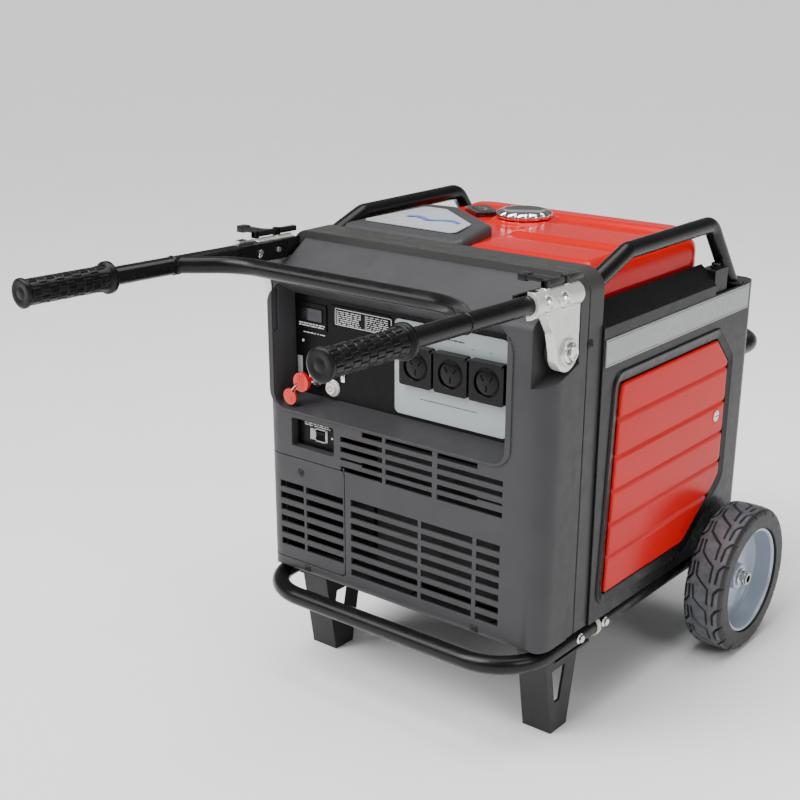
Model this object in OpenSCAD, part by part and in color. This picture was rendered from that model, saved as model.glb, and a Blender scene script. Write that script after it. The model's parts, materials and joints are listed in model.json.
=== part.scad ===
// Wheeled inverter generator: a boxy covered power unit on a tube frame,
// with two rear wheels, two front legs and a fold-down handle.
// Millimetres. X to the right seen from the front, Y to the rear, Z up.
// The origin is on the floor under the middle of the whole machine.

/* [Body] */
// Half width over the side frames
side_x = 262; // [258:1:266]
// Half width of the front cover
cover_x = 260; // [256:1:262]
// Y of the front face
face_y = -161; // [-165:1:-157]
// Y of the seam between the front cover and the hoop
seam_y = -86; // [-88:1:-84]
// Y of the hoop's rear edge
hoop_rear_y = -28; // [-32:1:-26]
// Y of the seam between the side frames and the rear cover
split_y = 425; // [420:1:430]
// Y of the rear face
rear_y = 450; // [447:1:455]
// Z of the covers' lower edge
skirt_z = 168; // [168:1:172]
// Z of the top of the hoop
hoop_z = 702; // [700:1:706]
// Thickness of the moulded covers
wall = 4; // [3:0.5:5]
// Radius of the front cover's vertical corners
corner_r = 35; // [25:1:40]

/* [Fuel tank] */
// Half width of the tank
tank_x = 227; // [224:1:227]
// Z of the tank's seam with the body
tank_z = 649; // [648:1:655]
// Z of the tank's top
tank_top_z = 690; // [688:1:691]
// Y of the tank's rear face
tank_rear_y = 345; // [342:1:346]
// Diameter of the filler cap over its lobes
cap_d = 92; // [80:1:100]

/* [Wheels] */
// Outer radius of the tyre
tyre_r = 123; // [118:1:124]
// Radius where the tyre sits on the rim
rim_r = 90; // [80:1:92]
// Y of the axle
wheel_y = 360; // [350:1:370]
// X of the tyre's inner face
tyre_in_x = 278; // [274:1:282]
// X of the tyre's outer face
tyre_out_x = 344; // [342:1:346]
// Radius of the axle's ends
axle_r = 10; // [8:0.5:11]

/* [Frame] */
// Outside diameter of the bumper, rail and guard tubes
frame_d = 28; // [26:0.1:30]
// Z of the rails' centreline
rail_z = 151; // [150:1:152]
// X of the rails' centreline
rail_x = 246; // [244:1:248]
// Y of the bumper's front run
bumper_y = -199; // [-205:1:-190]
// Z of the rear guard
guard_z = 470; // [460:1:480]
// Height of the lift bars' centreline
lift_z = 708.3; // [704:0.1:709]
// X of the lift bars
lift_x = 240; // [238:1:242]

/* [Handle] */
// Y of the handle's pivot
pivot_y = -118; // [-120:1:-116]
// Z of the handle's pivot
pivot_z = 605; // [603:1:607]
// X of the handle's arms
arm_x = 252; // [251:1:253]
// Height of the arms above the pivot
arm_dz = 76; // [74:1:77]
// Reach of the grips' ends from the pivot
reach = 482; // [470:1:482]
// Upward tilt of the extended arms
tilt = 1.7; // [0:0.1:2]
// Outside diameter of the arms and lift bars
tube_d = 25.4; // [24:0.1:26]
// Diameter of the pivot pins
pin_d = 16; // [14:0.5:18]

/* [Hidden] */

$fn = 64;
big = 900;
eps = 0.01;
gap = 2.5;

frame_r = frame_d / 2;
tube_r = tube_d / 2;
pin_r = pin_d / 2;
run_fit = 0.05;
rail_top = rail_z + frame_r;

steel_black = [0.09, 0.09, 0.10];
cover_grey = [0.27, 0.27, 0.30];
trim_black = [0.13, 0.13, 0.13];
tank_red = [0.78, 0.05, 0.05];
cast_silver = [0.75, 0.74, 0.70];
zinc = [0.72, 0.72, 0.72];
rubber_black = [0.06, 0.06, 0.06];
rim_grey = [0.55, 0.58, 0.64];
label_grey = [0.72, 0.74, 0.73];

// ---- Placing helpers ----

// Stretches a YZ outline from x0 to x1
module yz(x0, x1) {
    translate([x0, 0, 0]) rotate([90, 0, 90]) linear_extrude(x1 - x0) children();
}

// Stretches an XZ outline from y0 to y1
module xz(y0, y1) {
    translate([0, y1, 0]) rotate([90, 0, 0]) linear_extrude(y1 - y0) children();
}

// Stretches an XY outline from z0 to z1
module xy(z0, z1) {
    translate([0, 0, z0]) linear_extrude(z1 - z0) children();
}

// Round bar along X
module bar_x(x0, x1, y, z, r) {
    translate([x0, y, z]) rotate([0, 90, 0]) cylinder(h = x1 - x0, r = r);
}

// Round bar along Y
module bar_y(y0, y1, x, z, r) {
    translate([x, y0, z]) rotate([-90, 0, 0]) cylinder(h = y1 - y0, r = r);
}

// Round bar along Z
module bar_z(z0, z1, x, y, r) {
    translate([x, y, z0]) cylinder(h = z1 - z0, r = r);
}

// Box between two corners
module block(lo, hi) {
    translate(lo) cube(hi - lo);
}

// Rectangle between two corners with round corners
module round_rect(x0, y0, x1, y1, r) {
    translate([x0 + r, y0]) square([x1 - x0 - 2 * r, y1 - y0]);
    translate([x0, y0 + r]) square([x1 - x0, y1 - y0 - 2 * r]);
    for (x = [x0 + r, x1 - r], y = [y0 + r, y1 - r])
        translate([x, y]) circle(r);
}

// Both sides of a mirrored pair
module both_sides() {
    children();
    mirror([1, 0, 0]) children();
}

// Hexagonal prism along X, measured across its corners
module hex_x(x0, x1, y, z, r) {
    translate([x0, y, z]) rotate([0, 90, 0]) cylinder(h = x1 - x0, r = r, $fn = 6);
}

function unit(v) = v / norm(v);
function turn(a, b) = atan2(a[0] * b[1] - a[1] * b[0], a * b);
function tangent(p, q, s, R) = R * tan(abs(turn(unit(q - p), unit(s - q))) / 2);

bend_step = 0.04;
bend_lap = 1;

// Round rod in the XY plane through the points, with bends of radius R
module bent_rod(pts, R, r) {
    last = len(pts) - 1;
    for (i = [0 : last - 1]) {
        d = unit(pts[i + 1] - pts[i]);
        t0 = i == 0 ? 0 : tangent(pts[i - 1], pts[i], pts[i + 1], R) - bend_lap;
        t1 = i == last - 1 ? 0 : tangent(pts[i], pts[i + 1], pts[i + 2], R) - bend_lap;
        length = norm(pts[i + 1] - pts[i]) - t0 - t1;
        start = pts[i] + d * t0;
        translate([start[0], start[1], 0]) rotate([0, 90, atan2(d[1], d[0])])
            cylinder(h = length, r = r);
    }
    for (i = [1 : last - 1]) {
        a = unit(pts[i] - pts[i - 1]);
        b = unit(pts[i + 1] - pts[i]);
        angle = turn(a, b);
        side = sign(angle);
        centre = pts[i] - a * tangent(pts[i - 1], pts[i], pts[i + 1], R)
            + [-a[1], a[0]] * R * side;
        from = side > 0 ? atan2(a[1], a[0]) - 90 : atan2(b[1], b[0]) + 90;
        translate([centre[0], centre[1], 0]) rotate([0, 0, from])
            rotate_extrude(angle = abs(angle)) translate([R, 0]) circle(r - bend_step);
    }
}

// ---- Tube frame ----

bumper_end_y = -40;
rail_rear_y = 430;
axle_z = tyre_r;
axle_mid_r = axle_r + 1.5;
post_x = [212, 236];
post_y = [385, 409];

module under_frame() color(steel_black) {
    difference() {
        union() {
            both_sides() {
                bar_y(bumper_end_y, rail_rear_y, rail_x, rail_z, frame_r);
                block([rail_x - 6, wheel_y - 26, axle_z - 24], [rail_x + 6, wheel_y + 26, rail_z]);
                block([post_x[0], post_y[0], rail_z - 10], [post_x[1], post_y[1], 590]);
            }
            for (y = [-20, 150, 395])
                bar_x(-rail_x, rail_x, y, rail_z, frame_r - 3);
        }
        bar_x(-big, big, wheel_y, axle_z, axle_mid_r + run_fit);
    }
}

module front_bumper() color(steel_black) {
    translate([0, 0, rail_z])
        bent_rod([[-rail_x, bumper_end_y], [-rail_x, bumper_y], [rail_x, bumper_y],
            [rail_x, bumper_end_y]], 85, frame_r);
}

leg_x = [188, 238];
leg_t = 4;
leg_top_z = rail_z - frame_r;

// Side outline of a leg: leans back to its foot and narrows downwards
module leg_side(inset) {
    polygon([[-81 + inset, 0], [-38 + inset, 0], [-12 + inset, leg_top_z],
        [-103 + inset, leg_top_z]]);
}

module front_leg() {
    difference() {
        union() {
            difference() {
                yz(leg_x[0], leg_x[1]) leg_side(0);
                yz(leg_x[0] + leg_t, leg_x[1] - leg_t) translate([0, leg_t])
                    polygon([[-81 + leg_t, -eps], [0, -eps], [0, leg_top_z],
                        [-102.3 + leg_t, leg_top_z]]);
            }
            block([leg_x[0], -103, leg_top_z - leg_t], [rail_x + 10, -12, leg_top_z]);
        }
        yz(leg_x[0] - 1, leg_x[1] + 1)
            polygon([[-84, 106], [-48, 106], [-60, 50], [-74, 50]]);
    }
}

module front_legs() color(steel_black) both_sides() front_leg();

module axle() color(zinc) {
    bar_x(-tyre_in_x - 12, tyre_in_x + 12, wheel_y, axle_z, axle_mid_r);
    bar_x(-336, 336, wheel_y, axle_z, axle_r);
}

pan_t = 3;
pan_y = [-70, 380];

module base_pan() color(trim_black) {
    difference() {
        block([-232, pan_y[0], rail_top + eps], [232, pan_y[1], rail_top + 26]);
        block([-232 + pan_t, pan_y[0] + pan_t, rail_top + pan_t],
            [232 - pan_t, pan_y[1] - pan_t, rail_top + 40]);
    }
}

// ---- Front cover ----

brow_r = 18;
brow_a = 33;
brow_top_z = 690;
chin_r = 14;
brow_c = [face_y + brow_r,
    brow_top_z - (seam_y - face_y - brow_r + brow_r * sin(brow_a)) * tan(brow_a)
        - brow_r * cos(brow_a)];

// Side outline of the front cover, moved inwards by t
module cover_side(t, back) {
    brow = brow_c + (brow_r - t) * [-sin(brow_a), cos(brow_a)];
    chin = [face_y + chin_r, skirt_z + chin_r];
    polygon([[back, skirt_z + t], [chin[0], skirt_z + t], [face_y + t, chin[1]],
        [face_y + t, brow_c[1]], brow, [back, brow[1] + (back - brow[0]) * tan(brow_a)]]);
    translate(brow_c) circle(brow_r - t);
    translate(chin) circle(chin_r - t);
}

// Plan outline of the front cover, moved inwards by t
module cover_plan(t, back) {
    c = corner_r - t;
    translate([-cover_x + t, face_y + corner_r])
        square([2 * (cover_x - t), back - face_y - corner_r]);
    translate([-cover_x + corner_r, face_y + t])
        square([2 * (cover_x - corner_r), back - face_y - t]);
    for (s = [-1, 1])
        translate([s * (cover_x - corner_r), face_y + corner_r]) circle(c);
}

module cover_block(t, back) {
    intersection() {
        yz(-big, big) cover_side(t, back);
        xy(0, big) cover_plan(t, back);
    }
}

pocket_x = 232;

// Space beside the front cover in which a handle bracket swings
module pocket(t) {
    both_sides() yz(pocket_x - t, big)
        polygon([[-260, 524 - t], [-60, 592 - t], [-60, big], [-260, big]]);
}

recess = [[-234, 441], [195, 637]];
recess_back = -121;
recess_r = 22;

// Tapered well in which the control panel sits, grown by t
module recess_well(t) {
    lo = recess[0];
    hi = recess[1];
    front_y = face_y - 40;
    intersection() {
        xz(front_y, recess_back + eps)
            round_rect(lo[0] - t, lo[1] - t, hi[0] + t, hi[1] + t, recess_r + t);
        yz(-big, big)
            polygon([[front_y, lo[1] - t], [face_y, lo[1] - t], [recess_back, lo[1] + 17 - t],
                [0, lo[1] + 17 - t], [0, hi[1] - 24 + t], [recess_back, hi[1] - 24 + t],
                [face_y, hi[1] + t], [front_y, hi[1] + t]]);
        xy(0, big)
            polygon([[lo[0] - t, front_y], [lo[0] - t, face_y], [lo[0] + 10 - t, recess_back],
                [lo[0] + 10 - t, 0], [hi[0] - 19 + t, 0], [hi[0] - 19 + t, recess_back],
                [hi[0] + t, face_y], [hi[0] + t, front_y]]);
    }
}

slot_h = 11;
lower_cols = [[-83, 46], [52, 144], [151, 191]];
upper_cols = [[-102, -21], [-15, 71], [80, 193]];
door_cols = [[-228, -179], [-174, -98]];

// Row of louvre slots through the front face
module slots(cols, z, h) {
    for (c = cols)
        block([c[0], face_y - 5, z - h / 2], [c[1], face_y + 12, z + h / 2]);
}

module cover_slots() {
    for (i = [0 : 6])
        slots(lower_cols, 317 - 19.2 * i, slot_h);
    for (z = [415, 399, 368])
        slots(upper_cols, z, 8.5);
    slots([[-60, -21], [-15, 71], [80, 150]], 431, 8.5);
    slots([[-102, -60], [150, 193]], 384, 4);
    slots([[-60, -21], [-15, 71], [80, 150]], 383, 8.5);
}

window = [[-201, 383], [-115, 429]];
door_x = -95;
door_z = [190, 364];
door_r = 9;
door_hinge = [-97.5, -159];
door_pin_r = 1.5;
door_screw_at = [-184, 341];

// Front view of the door, grown by g, with corners of radius r
module door_outline(g, r) {
    union() {
        round_rect(door_x - 60, door_z[0] - g, door_x + g, door_z[1] + g, r);
        translate([-cover_x - 5, door_z[0] - g])
            square([cover_x + door_x - 30, door_z[1] - door_z[0] + 2 * g]);
    }
}

module cover_shell() {
    difference() {
        cover_block(0, seam_y - eps);
        difference() {
            cover_block(wall, seam_y + 5);
            pocket(wall);
        }
        pocket(0);
    }
}

front_screws = [[-174, 182], [150, 181]];

module front_cover() color(cover_grey) {
    difference() {
        union() {
            cover_shell();
            difference() {
                intersection() {
                    recess_well(3);
                    cover_block(1, seam_y);
                }
                pocket(0);
            }
            xz(face_y - 2, face_y + 2) difference() {
                round_rect(recess[0][0] - 9, recess[0][1] - 3, recess[1][0] + 9,
                    recess[1][1] - 6, recess_r + 8);
                round_rect(recess[0][0], recess[0][1] + 6, recess[1][0], recess[1][1] - 15,
                    recess_r);
            }
            xz(face_y, face_y + 18)
                round_rect(window[0][0] - 3, window[0][1] - 3, window[1][0] + 3, window[1][1] + 3, 6);
        }
        recess_well(0);
        xz(face_y - 5, face_y + 20)
            round_rect(window[0][0], window[0][1], window[1][0], window[1][1], 4);
        cover_slots();
        intersection() {
            xz(face_y - 5, seam_y + 20) door_outline(1, door_r - 3);
            block([-big, face_y - 5, 0], [big, -118, big]);
        }
        bar_z(184, 370, door_hinge[0], door_hinge[1], door_pin_r + run_fit);
        for (s = front_screws)
            bar_y(face_y - 1, face_y + 6, s[0], s[1], 4.2);
    }
}

module front_door() color(cover_grey) {
    difference() {
        union() {
            intersection() {
                difference() {
                    cover_block(0, seam_y);
                    cover_block(wall, seam_y + 5);
                }
                xz(face_y - 5, -120) door_outline(-0.5, door_r);
            }
            for (z = [185, 354])
                bar_z(z, z + 15, door_hinge[0], door_hinge[1], door_pin_r);
        }
        for (i = [0 : 5])
            slots(door_cols, 314.5 - 19.7 * i, slot_h);
        bar_y(face_y - 1, face_y + 1.2, door_screw_at[0], door_screw_at[1], 4.2);
    }
}

// ---- Hoop ----

hoop_x = 258;
hoop_t = 20;
hoop_corner_r = 30;

module hoop_outline(x, top, r) {
    translate([-x, skirt_z]) square([2 * x, top - r - skirt_z]);
    translate([-x + r, skirt_z]) square([2 * (x - r), top - skirt_z]);
    for (s = [-1, 1])
        translate([s * (x - r), top - r]) circle(r);
}

ear_x = [236, 242];

module hoop_frame() color(cover_grey) {
    difference() {
        union() {
            xz(seam_y, hoop_rear_y) hoop_outline(hoop_x, hoop_z, hoop_corner_r);
            both_sides() yz(ear_x[0], ear_x[1]) {
                translate([pivot_y, pivot_z]) circle(20);
                polygon([[pivot_y, pivot_z - 20], [-60, pivot_z - 20], [-60, pivot_z + 30],
                    [pivot_y, pivot_z + 20]]);
            }
        }
        xz(seam_y - 1, hoop_rear_y + 1) translate([0, -1])
            hoop_outline(hoop_x - hoop_t, hoop_z - hoop_t + 1, hoop_corner_r - 12);
        bar_x(-big, big, pivot_y, pivot_z, pin_r + 0.02);
        both_sides() bar_x(hoop_x - 6, hoop_x + 5, -57, 602, 4.2);
        xz(-66, -63) difference() {
            hoop_outline(hoop_x + 5, hoop_z + 5, hoop_corner_r);
            hoop_outline(hoop_x - 1.5, hoop_z - 1.5, hoop_corner_r - 1.5);
        }
    }
}

module pivot_pins() color(zinc) both_sides() {
    bar_x(ear_x[0], 264, pivot_y, pivot_z, pin_r);
    bar_x(263, 265.5, pivot_y, pivot_z, 14);
    hex_x(265, 271, pivot_y, pivot_z, 12);
}

// ---- Control panel ----

panel_y = [recess_back + eps, recess_back + 4];
socket_z = [513, 573];
socket_pitch = 62;
socket_w = 58;
key_at = [-181, 488];
breaker_at = [-149, 476];

module control_panel() color(trim_black) {
    difference() {
        union() {
            block([-228, panel_y[0], 452], [180, panel_y[1], 618]);
            xz(panel_y[0] - 2, panel_y[0] + 1) {
                round_rect(-217, 560, -160, 602, 3);
                round_rect(-150, 574, -38, 606, 2);
            }
        }
        bar_y(panel_y[0] - 5, panel_y[1] + 5, key_at[0], key_at[1], 11);
        bar_y(panel_y[0] - 5, panel_y[1] + 5, breaker_at[0], breaker_at[1], 9.05);
        xz(panel_y[0] - 5, panel_y[0] + 0.5) round_rect(-209, 574, -168, 594, 2);
    }
}

module socket_plate() color(label_grey) {
    xz(panel_y[0] - 2, panel_y[0] - eps) round_rect(-28, 464, 170, 606, 8);
}

// Outlet with three flat slots: two slanted, one upright
module ac_socket(x) {
    y0 = panel_y[0] - 12;
    mid = (socket_z[0] + socket_z[1]) / 2;
    difference() {
        union() {
            xz(y0, panel_y[0] - 2 - eps)
                round_rect(x - socket_w / 2, socket_z[0], x + socket_w / 2, socket_z[1], 4);
            block([x - socket_w / 2, y0 - 5, socket_z[1] - 3], [x + socket_w / 2, y0 + 1, socket_z[1]]);
        }
        bar_y(y0 - 1, y0 + 3, x, mid, 21);
        for (s = [-1, 1])
            translate([x + s * 7, y0 - 1, mid + 5]) rotate([0, s * 30, 0])
                translate([-0.9, 0, -4]) cube([1.8, 10, 8]);
        block([x - 0.9, y0 - 1, mid - 13], [x + 0.9, y0 + 9, mid - 5]);
    }
}

module ac_sockets() color(trim_black) {
    for (i = [0 : 2])
        ac_socket(17 + socket_pitch * i);
}

module display() color([0.16, 0.18, 0.22]) {
    xz(panel_y[0] - 2.5, panel_y[0] + 0.4) round_rect(-208.5, 574.5, -168.5, 593.5, 2);
}

module ignition_switch() color(zinc) {
    difference() {
        union() {
            bar_y(panel_y[0] - 4, panel_y[1] + 28, key_at[0], key_at[1], 10.9);
            bar_y(panel_y[0] - 4, panel_y[0] - eps, key_at[0], key_at[1], 14);
        }
        bar_y(panel_y[0] - 10, panel_y[1] + 12, key_at[0], key_at[1], 4 + run_fit);
    }
}

key_head_y = -157;
key_hole = [-9, -6];
ring_r = 7;
wire_r = 0.9;
tag_r = 13;
tag_lean = 36;

module ignition_key() color(tank_red) translate([key_at[0], 0, key_at[1]]) {
    bar_y(key_head_y, panel_y[1] + 10, 0, 0, 4);
    difference() {
        bar_y(key_head_y - 3, key_head_y + 3, 0, 0, 15);
        bar_y(-big, 0, key_hole[0], key_hole[1], 2.5);
    }
}

// Tag on a ring through the key's head; it leans towards -X
module key_tag() color(tank_red)
    translate([key_at[0] + key_hole[0], key_head_y, key_at[1] + key_hole[1]])
        rotate([0, tag_lean, 0]) {
            translate([0, 0, -ring_r]) rotate([0, 90, 0])
                rotate_extrude() translate([ring_r, 0]) circle(wire_r);
            difference() {
                xz(-1.6, 1.6) {
                    translate([0, -2 * ring_r - tag_r]) circle(tag_r);
                    translate([-4.5, -2 * ring_r - tag_r]) square([9, tag_r + 4]);
                }
                bar_y(-5, 5, 0, -2 * ring_r, 2.5);
            }
        }

insert_y = -147;
rocker_at = [-153, 405];
rocker_pin_y = -140;

module switch_housing() color(trim_black) {
    difference() {
        xz(insert_y, insert_y + 18) round_rect(window[0][0] + 0.3, window[0][1] + 0.3,
            window[1][0] - 0.3, window[1][1] - 0.3, 3.5);
        block([rocker_at[0] - 11, insert_y - 1, rocker_at[1] - 9],
            [rocker_at[0] + 11, insert_y + 16, rocker_at[1] + 9]);
        bar_x(rocker_at[0] - 15, rocker_at[0] + 15, rocker_pin_y, rocker_at[1], 1.5 + run_fit);
    }
}

module rocker_switch() color(trim_black) {
    bar_x(rocker_at[0] - 14, rocker_at[0] + 14, rocker_pin_y, rocker_at[1], 1.5);
    yz(rocker_at[0] - 10, rocker_at[0] + 10) translate([rocker_pin_y, rocker_at[1]]) {
        polygon([[-9, -6.5], [-7, 0], [-9, 6.5], [0, 5], [4, 0], [0, -5]]);
    }
}

module breaker_button() color([0.85, 0.83, 0.8]) {
    bar_y(panel_y[0] - 8, panel_y[1] + 8, breaker_at[0], breaker_at[1], 9);
    bar_y(panel_y[1] + 5, panel_y[1] + 8, breaker_at[0], breaker_at[1], 11);
}

// ---- Sides ----

shoulder_z = 618;
side_in_x = 240;
hinge_y = 12;
hinge_x = 259.5;
hinge_pin_r = 2;

// Outline of a service cover, moved outwards by g
module service_outline(g) {
    polygon([[8 - g, 208 - g], [250 + g, 208 - g], [362 + g, 290 - g * 0.5], [362 + g, 486 + g * 0.5],
        [320 + g * 0.5, 528 + g], [24 - g, 528 + g]]);
}

// Bar on a service cover's hinge line, which runs along its leaning front edge
module hinge_bar(from, to, r) {
    translate([hinge_x, hinge_y, 208]) rotate([-atan2(16, 320), 0, 0])
        bar_z(from, to, 0, 0, r);
}

module side_frame() {
    difference() {
        union() {
            difference() {
                union() {
                    block([side_in_x, hoop_rear_y + eps, skirt_z], [side_x, split_y, shoulder_z - 15]);
                    xz(hoop_rear_y + eps, 303) polygon([[side_in_x, 560], [side_x, 560],
                        [side_x, shoulder_z], [side_x - 8, shoulder_z + 12], [side_in_x - 6, tank_z - 1],
                        [side_in_x - 6, tank_z - 6], [side_in_x, tank_z - 10]]);
                }
                block([side_in_x - 1, hoop_rear_y + 10, skirt_z + 8], [side_x - wall, split_y - 8, shoulder_z - 4]);
            }
            intersection() {
                block([244, hoop_rear_y + eps, skirt_z], [side_x - 1, split_y, shoulder_z - 15]);
                yz(0, big) service_outline(18);
            }
        }
        yz(0, big) service_outline(gap);
        yz(0, big) polygon([[3.5, 206], [19.6, 530], [24, 530], [8, 206]]);
        hinge_bar(-18, 341, hinge_pin_r + run_fit);
    }
    // Lug that receives the cover's lock
    difference() {
        block([244, 318, 388], [248, 366, 412]);
        bar_x(0, big, 334, 400, 5.5);
    }
}

module side_frame_right() color(trim_black) side_frame();
module side_frame_left() color(trim_black) mirror([1, 0, 0]) side_frame();

module side_stripes() color(label_grey) both_sides()
    block([side_x + eps, -23, 562], [side_x + 2, 418, 601]);

module cover_seals() color(rubber_black) both_sides() difference() {
    yz(248.5, 252) service_outline(gap - 0.2);
    yz(0, big) service_outline(-6);
    block([0, 300, 380], [big, 366 - 8, 420]);
}

groove_z = [478, 421, 369, 318, 267];

module service_cover() {
    difference() {
        union() {
            yz(261, 265) service_outline(0);
            difference() {
                yz(253, 262) service_outline(-3);
                yz(0, big) service_outline(-7);
            }
            hinge_bar(-10, 334, hinge_pin_r);
        }
        for (z = groove_z)
            block([264, 30, z - 2], [270, 400, z + 2]);
        bar_x(263, 270, 334, 400, 12);
        bar_x(250, 270, 334, 400, 6 + run_fit);
    }
}

module service_cover_right() color(tank_red) service_cover();
module service_cover_left() color(tank_red) mirror([1, 0, 0]) service_cover();

module cover_lock() {
    difference() {
        union() {
            bar_x(258, 264, 334, 400, 6);
            bar_x(263.1, 266, 334, 400, 9);
            bar_x(240, 258, 334, 400, 4);
        }
        block([265, 326, 399], [270, 342, 401]);
    }
    bar_x(256, 260.9, 334, 400, 8.5);
}

module cover_lock_right() color(zinc) cover_lock();
module cover_lock_left() color(zinc) mirror([1, 0, 0]) cover_lock();

// ---- Rear ----

rear_r = 26;
deck_z = 603;
knob_box_y = [305, 347];
knob_box_z = 640;
guard_x = 222;
outlet = [125, 400];
outlet_r = 19;
outlet_end_y = 480;

module rear_plan(t) {
    translate([-side_x + t, split_y - 5]) square([2 * (side_x - t), rear_y - rear_r - split_y + 5]);
    translate([-side_x + rear_r, split_y - 5]) square([2 * (side_x - rear_r), rear_y - t - split_y + 5]);
    for (s = [-1, 1])
        translate([s * (side_x - rear_r), rear_y - rear_r]) circle(rear_r - t);
}

module rear_cover() color(trim_black) {
    difference() {
        union() {
            difference() {
                xy(skirt_z, deck_z) rear_plan(0);
                xy(skirt_z + wall, deck_z - wall) rear_plan(wall);
                block([-big, 0, 0], [big, split_y + eps, big]);
            }
            block([-side_in_x + eps, 304, deck_z - 7.5], [side_in_x - eps, split_y + 2, deck_z]);
            both_sides() {
                block([233, knob_box_y[0], deck_z - 1], [side_in_x - eps, knob_box_y[1], knob_box_z]);
                block([233, knob_box_y[0], deck_z + eps], [258, knob_box_y[1], knob_box_z]);
            }
        }
        for (i = [0 : 9])
            block([-170, rear_y - 8, 330 + 20 * i], [70, rear_y + 5, 340 + 20 * i]);
        bar_y(0, big, outlet[0], outlet[1], outlet_r + 7);
        both_sides() bar_y(0, big, guard_x, guard_z, frame_r + 0.3);
    }
}

guard_rear_y = 599;

module rear_guard() color(steel_black) {
    translate([0, 0, guard_z])
        bent_rod([[-guard_x, post_y[1] + eps], [-guard_x, guard_rear_y - frame_r],
            [guard_x, guard_rear_y - frame_r], [guard_x, post_y[1] + eps]], 70, frame_r);
}

// ---- Tank and top ----

tank_edge_r = 16;
tank_corner_r = 66;
rib_edge_r = 5;
// Ribs across the tank: first and last X, first and last Y, height
ribs = [[8, 200, 20, 92, 5], [0, 200, 138, 228, 5], [-190, 190, 291, 340, 8]];
cap_at = [-54, 242];
neck_z = tank_top_z + 5;

tank_front_y = hoop_rear_y + 2;
tank_floor_z = 615;

// Solid shape of the tank, moved in by t
module tank_block(t) {
    intersection() {
        xz(tank_front_y + t, tank_rear_y - t)
            round_rect(-tank_x + t, tank_floor_z - 30, tank_x - t, tank_top_z - t, tank_edge_r);
        yz(-big, big)
            round_rect(-100, tank_floor_z - 30, tank_rear_y - t, tank_top_z - t, tank_edge_r);
        xy(tank_floor_z + t, big)
            round_rect(-tank_x + t, -100, tank_x - t, tank_rear_y - t, tank_corner_r);
    }
}

module fuel_tank() color(tank_red) {
    difference() {
        union() {
            tank_block(0);
            intersection() {
                for (b = ribs)
                    yz(b[0], b[1])
                        round_rect(b[2], tank_top_z - 14, b[3], tank_top_z + b[4], rib_edge_r);
                xy(tank_floor_z, big)
                    round_rect(-tank_x, -100, tank_x, tank_rear_y - 4, tank_corner_r);
            }
            bar_z(tank_top_z - 5, neck_z, cap_at[0], cap_at[1], 34);
        }
        tank_block(3);
        bar_z(tank_top_z - 10, big, cap_at[0], cap_at[1], 28);
    }
}

module fuel_cap() color("silver") translate([cap_at[0], cap_at[1], neck_z]) {
    bar_z(0.3, 13, 0, 0, cap_d / 2 - 4);
    for (i = [0 : 11])
        rotate([0, 0, 30 * i]) bar_z(0.3, 10, cap_d / 2 - 9, 0, 9);
    bar_z(-12, 1, 0, 0, 27.5);
}

module info_housing() color(cover_grey) {
    difference() {
        xy(tank_top_z + eps, tank_top_z + 20)
            polygon([[-222, -14], [-2, -14], [6, -4], [-20, 105], [-165, 215], [-222, 205]]);
        yz(-big, big) polygon([[-30, tank_top_z + 12], [40, tank_top_z + 18],
            [300, tank_top_z + 12], [300, big], [-30, big]]);
    }
}

module fuel_gauge() color(trim_black) {
    translate([-143, 250, 0]) rotate([0, 0, -37])
        xy(tank_top_z + eps, tank_top_z + 8) round_rect(-34, -20, 34, 20, 5);
}

module lift_bar() {
    translate([lift_x, 0, 0]) rotate([90, 0, 90])
        bent_rod([[hoop_rear_y + eps, 678], [58, lift_z], [312, lift_z], [395, deck_z + 2]], 34, tube_r);
    translate([lift_x, 0, 0]) {
        bar_z(deck_z + eps, deck_z + 5, 0, 395, 20);
    }
}

module lift_bar_right() color(steel_black) lift_trim() lift_bar();
module lift_bar_left() color(steel_black) mirror([1, 0, 0]) lift_trim() lift_bar();

// Keeps a lift bar clear of the hoop and the deck
module lift_trim() {
    difference() {
        children();
        block([0, -big, 0], [big, big, deck_z + eps]);
        block([0, -big, 0], [big, hoop_rear_y + eps, big]);
    }
}

// ---- Power unit ----

shaft_z = 300;
shaft_r = 15;

module crankcase() color("gray") {
    difference() {
        union() {
            block([-105, 100, 205], [105, 240, 385]);
            bar_y(80, 100 + eps, 0, shaft_z, 60);
            for (x = [-95, 75], y = [105, 205])
                block([x, y, 196], [x + 20, y + 30, 206]);
        }
        block([-90, 115, 220], [90, 225, 370]);
        bar_y(0, big, 0, shaft_z, shaft_r + run_fit);
    }
}

module cylinder_head() color("gray") {
    translate([0, 170, 385 + eps]) {
        difference() {
            union() {
                bar_z(0, 90, -10, 0, 46);
                for (i = [0 : 6])
                    translate([-75, -55, 8 + 12 * i]) cube([130, 110, 4]);
                translate([-60, -50, 90]) cube([100, 100, 34]);
                translate([-50, -40, 120]) cube([80, 80, 22]);
            }
            bar_z(-1, 80, -10, 0, 44);
            bar_x(30, 60, 0, 105, 7);
        }
    }
}

module spark_plug() color("white") {
    translate([0, 170, 385]) {
        bar_x(32, 44, 0, 105, 6.95);
        bar_x(40 + eps, 62, 0, 105, 9);
        bar_x(62, 90, 0, 105, 12);
    }
}

module stator() color([0.6, 0.35, 0.15]) {
    difference() {
        union() {
            bar_y(45, 80 - eps, 0, shaft_z, 78);
            for (i = [0 : 17])
                translate([0, 0, shaft_z]) rotate([0, 20 * i, 0]) block([70, 48, -7], [92, 76, 7]);
        }
        bar_y(0, 100, 0, shaft_z, 30);
    }
}

module crankshaft() color("silver") {
    bar_y(8, 262, 0, shaft_z, shaft_r);
    bar_y(140, 158, 0, shaft_z, 48);
    bar_y(182, 200, 0, shaft_z, 48);
    bar_y(158, 182, 22, shaft_z, 16);
}

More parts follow.
